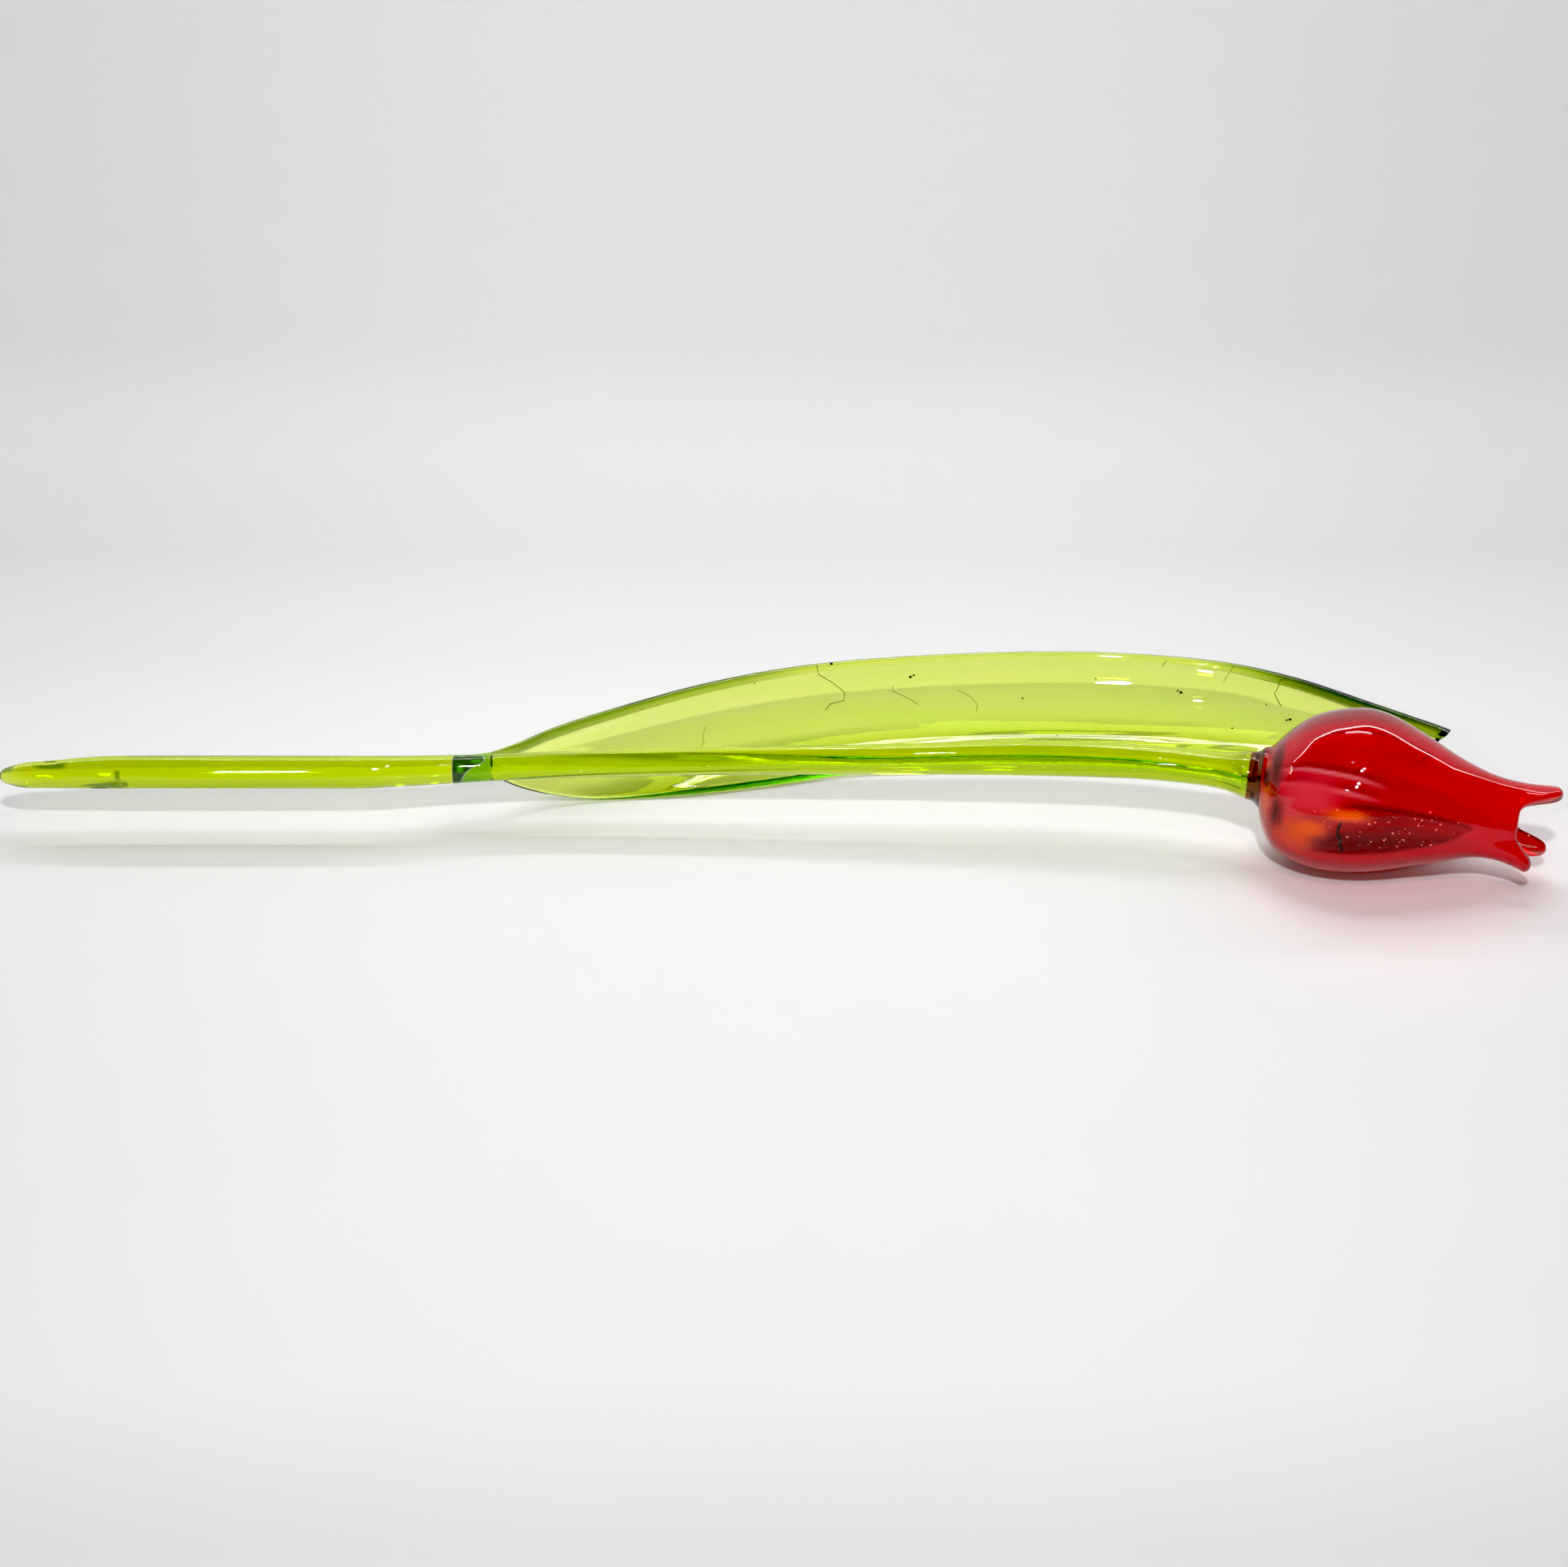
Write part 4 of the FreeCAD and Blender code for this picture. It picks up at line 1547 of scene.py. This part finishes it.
    def seeds(self, tree: BVHTree) -> bpy.types.Object:
        """Scatter seeds in the bloom: a cloud in the clear window and a few at its upper shoulder.

        Args:
            tree: the bloom's surface.

        Returns:
            All the seeds as one object.
        """
        chance = random.Random(11)
        rows = []
        middle, spread, top, height = self.seed_cloud
        lowest, rise = self.seed_sag
        for _ in range(self.seed_count):
            column = chance.gauss(middle, spread)
            line = top + height * chance.random() - rise * abs(column - lowest)
            rows.append((column, line, self.seed_least + self.seed_growth * chance.random() ** 3))
        left, top, width, height, rise = self.shoulder_patch
        for _ in range(self.shoulder_count):
            column = left + width * chance.random()
            line = top - rise * (column - left) + height * chance.random()
            rows.append((column, line, self.seed_least + self.shoulder_growth * chance.random()))
        return self.grains("bloom_seeds", tree, rows, self.seed_depth)

    def build(self, bloom: bpy.types.Object, leaf: bpy.types.Object, stem: bpy.types.Object) -> list[tuple]:
        """Make every flaw.

        Args:
            bloom: the blown bloom.
            leaf: the leaf's blade.
            stem: the drawn stem.

        Returns:
            Rows of a piece, the finish that it takes and its slot.
        """
        graph = bpy.context.evaluated_depsgraph_get()
        cup, blade, rod = (BVHTree.FromObject(piece, graph) for piece in (bloom, leaf, stem))
        crack_radii = [row[2] for row in self.crack]
        made = [
            (self.seeds(cup), TrappedAir(), Slot.RUBY),
            (self.thread("bloom_crack", cup, self.crack, crack_radii, self.crack_depth), Grit(), Slot.RUBY),
            (self.grains("leaf_specks", blade, self.specks, self.speck_depth), Grit(), Slot.LEAF),
            (self.grains("leaf_bubbles", blade, self.bubbles, self.bubble_depth), TrappedAir(), Slot.LEAF),
            (self.grains("stem_seeds", rod, self.stem_seeds, self.bubble_depth), TrappedAir(), Slot.STEM),
        ]
        for number, (radius, line) in enumerate(self.hairs, start=1):
            hair = self.thread(f"leaf_hair_{number}", blade, line, [radius] * len(line), self.hair_depth)
            made.append((hair, Grit("brown_hair", "#5A3A08", "#8A6410"), Slot.LEAF))
        return made


class Lamp(Enum):
    """Kinds of light, by the shape of their face."""

    PANEL = "RECTANGLE"
    SOFTBOX = "ELLIPSE"
    ROUND = "DISK"
    BEAM = "BEAM"


@dataclass(frozen=True)
class Light:
    """One light of the studio. Places and sizes in mm."""

    name: str
    kind: Lamp
    place: Row
    watts: float
    width: float
    height: float = 0.0
    aim: Row = (0, 0, 0)
    tint: tuple[float, float, float] = (1.0, 1.0, 1.0)
    beam_degrees: float = 0.0
    shows_in_glass: bool = True

    def build(self) -> bpy.types.Object:
        """Hang the light in its place and turn it to what it lights.

        Returns:
            The light.
        """
        beam = self.kind is Lamp.BEAM
        data = bpy.data.lights.new(self.name, "SPOT" if beam else "AREA")
        data.energy = self.watts
        data.color = self.tint
        if beam:
            data.spot_size = math.radians(self.beam_degrees)
            data.spot_blend = 1.0
            data.shadow_soft_size = self.width / 2 * MM
        else:
            data.shape = self.kind.value
            data.size, data.size_y = self.width * MM, self.height * MM
        light = bpy.data.objects.new(self.name, data)
        light.location = Vector(self.place) * MM
        direction = (Vector(self.aim) - Vector(self.place)).normalized()
        light.rotation_euler = direction.to_track_quat("-Z", "Y").to_euler()
        light.visible_glossy = self.shows_in_glass
        bpy.context.scene.collection.objects.link(light)
        return light


@dataclass(frozen=True)
class Studio:
    """White sweep under a soft overhead light, a tube and round lamps. Sizes in mm."""

    lights: tuple[Light, ...] = (
        Light("rear_tube", Lamp.PANEL, (200, 430, 900), 0.8, 460, 60, (60, 0, 0)),
        Light("rear_softbox", Lamp.SOFTBOX, (60, 330, 1350), 4.6, 800, 400, shows_in_glass=False),
        Light("backdrop_edge", Lamp.PANEL, (60, 249, 392), 1.5, 1500, 22, (60, -600, 0)),
        Light("front_lamp", Lamp.ROUND, (40, -1073, 1174), 11.0, 90, 90),
        Light("overhead_lamp", Lamp.ROUND, (-10, -290, 680), 0.16, 18, 18),
        Light("low_lamp", Lamp.ROUND, (-400, -1450, 900), 2.8, 96, 96),
        # What the red bloom lets through, which turns its shadow on the paper pink
        Light(
            "red_glow",
            Lamp.BEAM,
            (196, -560, 780),
            7.0,
            60,
            aim=(200, -52, 0),
            tint=(1.0, 0.30, 0.32),
            beam_degrees=8.6,
        ),
    )
    room_hex: str = "#FBFCFF"
    room_strength: float = 0.14

    sweep_front: float = 460.0
    sweep_back: float = 190.0
    sweep_side: float = 1500.0
    cove_radius: float = 60.0
    sweep_height: float = 376.0
    black_level: float = 0.028
    # Painted shade along the paper's run, from the front over the fold and up, darker at the front edge and
    # before the fold: mm, then grey
    paper_shade_run: tuple[tuple[float, str], ...] = (
        (-363.0, "#E0E0E0"),
        (-299.0, "#EDEDED"),
        (-229.0, "#EEEEEE"),
        (0.0, "#EDEDED"),
        (110.0, "#E5E5E5"),
        (148.0, "#E6E6E6"),
        (190.0, "#E9E9E9"),
        (222.0, "#F1F1F1"),
        (252.0, "#F9F9F9"),
        (282.0, "#FEFEFE"),
        (312.0, "#FFFFFF"),
    )
    # Painted shade that darkens the paper towards its sides: its grey there, and where that starts and is
    # full
    side_shade_hex: str = "#F6F6F6"
    side_shade_range: tuple[float, float] = (60.0, 320.0)
    fibre_mm: float = 40.0
    fibre_hex: tuple[str, str] = ("#FAFAFB", "#FCFCFC")

    def build_sweep(self) -> bpy.types.Object:
        """Make the floor, the cove and the backdrop as one sheet of matt paper.

        Returns:
            The sweep.
        """
        bm = bmesh.new()
        side = self.sweep_side * MM
        verts = [bm.verts.new((x, -self.sweep_front * MM, 0)) for x in (-side, side)]
        edges = [bm.edges.new(verts)]
        floor = bmesh.ops.extrude_edge_only(bm, edges=edges)["geom"]
        front = [item for item in floor if isinstance(item, bmesh.types.BMVert)]
        for vert in front:
            vert.co.y = self.sweep_back * MM
        line = [item for item in floor if isinstance(item, bmesh.types.BMEdge)]
        line = [edge for edge in line if all(vert in front for vert in edge.verts)]
        centre = (0, self.sweep_back * MM, self.cove_radius * MM)
        bent = bmesh.ops.spin(
            bm,
            geom=front + line,
            axis=(1, 0, 0),
            cent=centre,
            angle=math.pi / 2,
            steps=24,
        )["geom_last"]
        last = [item for item in bent if isinstance(item, bmesh.types.BMEdge)]
        wall = bmesh.ops.extrude_edge_only(bm, edges=last)["geom"]
        for item in wall:
            if isinstance(item, bmesh.types.BMVert):
                item.co.z = self.sweep_height * MM
        piece = finish_mesh("studio_sweep", bm)
        for polygon in piece.data.polygons:
            if polygon.normal.z < 0 or polygon.normal.y > 0.5:
                piece.data.flip_normals()
                break
        piece.data.materials.append(self.paper())
        piece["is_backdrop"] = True
        return piece

    def paper(self) -> bpy.types.Material:
        """Matt white card, which gives soft light and no gloss, darkened by painted shade along its run and
        towards its sides.

        Returns:
            The material.
        """
        material, tree, place = start_material("white_card")
        tone = mottle(tree, place, self.fibre_mm, self.fibre_hex, Detail=4.0)
        where = add_node(tree, "ShaderNodeSeparateXYZ", {"Vector": place})
        run = add_node(tree, "ShaderNodeMath", {0: where.outputs["Y"], 1: where.outputs["Z"]})
        first, last = self.paper_shade_run[0][0], self.paper_shade_run[-1][0]
        fold = add_node(
            tree,
            "ShaderNodeMapRange",
            {"Value": run.outputs["Value"]},
            From_Min=first * MM,
            From_Max=last * MM,
        )
        shade = add_node(tree, "ShaderNodeValToRGB", {"Fac": fold.outputs["Result"]})
        stops = shade.color_ramp.elements
        stops[0].color, stops[1].color = linear(self.paper_shade_run[0][1]), linear(self.paper_shade_run[-1][1])
        for distance, grey in self.paper_shade_run[1:-1]:
            stops.new((distance - first) / (last - first)).color = linear(grey)
        run_shaded = add_node(
            tree,
            "ShaderNodeMix",
            {6: tone, 7: shade.outputs["Color"]},
            data_type="RGBA",
            blend_type="MULTIPLY",
            Factor=1.0,
        )
        aside = add_node(tree, "ShaderNodeMath", {0: where.outputs["X"]}, operation="ABSOLUTE")
        edge = add_node(
            tree,
            "ShaderNodeMapRange",
            {"Value": aside.outputs["Value"]},
            interpolation_type="SMOOTHSTEP",
            From_Min=self.side_shade_range[0] * MM,
            From_Max=self.side_shade_range[1] * MM,
        )
        side_shaded = add_node(
            tree,
            "ShaderNodeMix",
            {0: edge.outputs["Result"], 6: run_shaded.outputs[2]},
            data_type="RGBA",
            blend_type="MULTIPLY",
        )
        side_shaded.inputs[7].default_value = linear(self.side_shade_hex)
        shader = add_node(
            tree,
            "ShaderNodeBsdfPrincipled",
            {"Base Color": side_shaded.outputs[2]},
            Roughness=0.9,
            Specular_IOR_Level=0.1,
        )
        add_node(tree, "ShaderNodeOutputMaterial", {"Surface": shader.outputs["BSDF"]})
        return material

    def build(self) -> None:
        """Set the sweep, the lights, the world and the picture's tone."""
        self.build_sweep()
        for light in self.lights:
            light.build()
        world = bpy.data.worlds.new("dim_room")
        world.use_nodes = True
        world.node_tree.nodes["Background"].inputs["Color"].default_value = linear(self.room_hex)
        world.node_tree.nodes["Background"].inputs["Strength"].default_value = self.room_strength
        scene = bpy.context.scene
        scene.world = world
        scene.view_settings.view_transform = "Standard"
        scene.view_settings.look = "None"
        scene.view_settings.use_curve_mapping = True
        scene.view_settings.curve_mapping.black_level = (self.black_level,) * 3
        scene.cycles.max_bounces = 24
        scene.cycles.transmission_bounces = 20
        scene.cycles.glossy_bounces = 12
        scene.cycles.diffuse_bounces = 3
        scene.cycles.sample_clamp_indirect = 8.0


def write_sizes() -> None:
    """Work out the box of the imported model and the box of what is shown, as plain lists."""
    boxes = {"cad": CAD_BOX, "visual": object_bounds()}
    plain = {name: [[float(value) for value in corner] for corner in box] for name, box in boxes.items()}


def main() -> None:
    """Build the studio, the camera and every piece of the flower, in the maker's order."""
    logging.basicConfig(level=logging.INFO, format="%(name)s: %(message)s")
    view = PhotoView()
    view.build()
    Studio().build()
    stem = Stem()
    collar = Collar(stem)
    bloom = Bloom(collar)
    leaf = Leaf()
    jobs: list[tuple[Callable[[], bpy.types.Object], Glass, Slot, str]] = [
        (stem.build, GREEN_ROD, Slot.STEM, "stem_rod"),
        (collar.build, OVERLAY, Slot.OVERLAY, "joining_collar"),
        (bloom.build, RUBY, Slot.RUBY, "bloom_cup"),
        (lambda: leaf.build_root(stem), GREEN_ROOT, Slot.LEAF, "leaf_root_pad"),
        (lambda: leaf.build_blade(stem), GREEN_LEAF, Slot.LEAF, "leaf_blade"),
    ]
    made: dict[str, bpy.types.Object] = {}
    for build, glass, slot, node in jobs:
        made[node] = build()
        dress(made[node], glass.build(), slot, node)
        log.info("%s: %d faces", made[node].name, len(made[node].data.polygons))
    finishes: dict[str, bpy.types.Material] = {}
    flaws = Inclusions(view).build(made["bloom_cup"], made["leaf_blade"], made["stem_rod"])
    for piece, finish, slot in flaws:
        if finish.name not in finishes:
            finishes[finish.name] = finish.build()
        dress(piece, finishes[finish.name], slot)
        log.info("%s: %d faces", piece.name, len(piece.data.polygons))
    write_sizes()


if __name__ == "__main__":
    main()
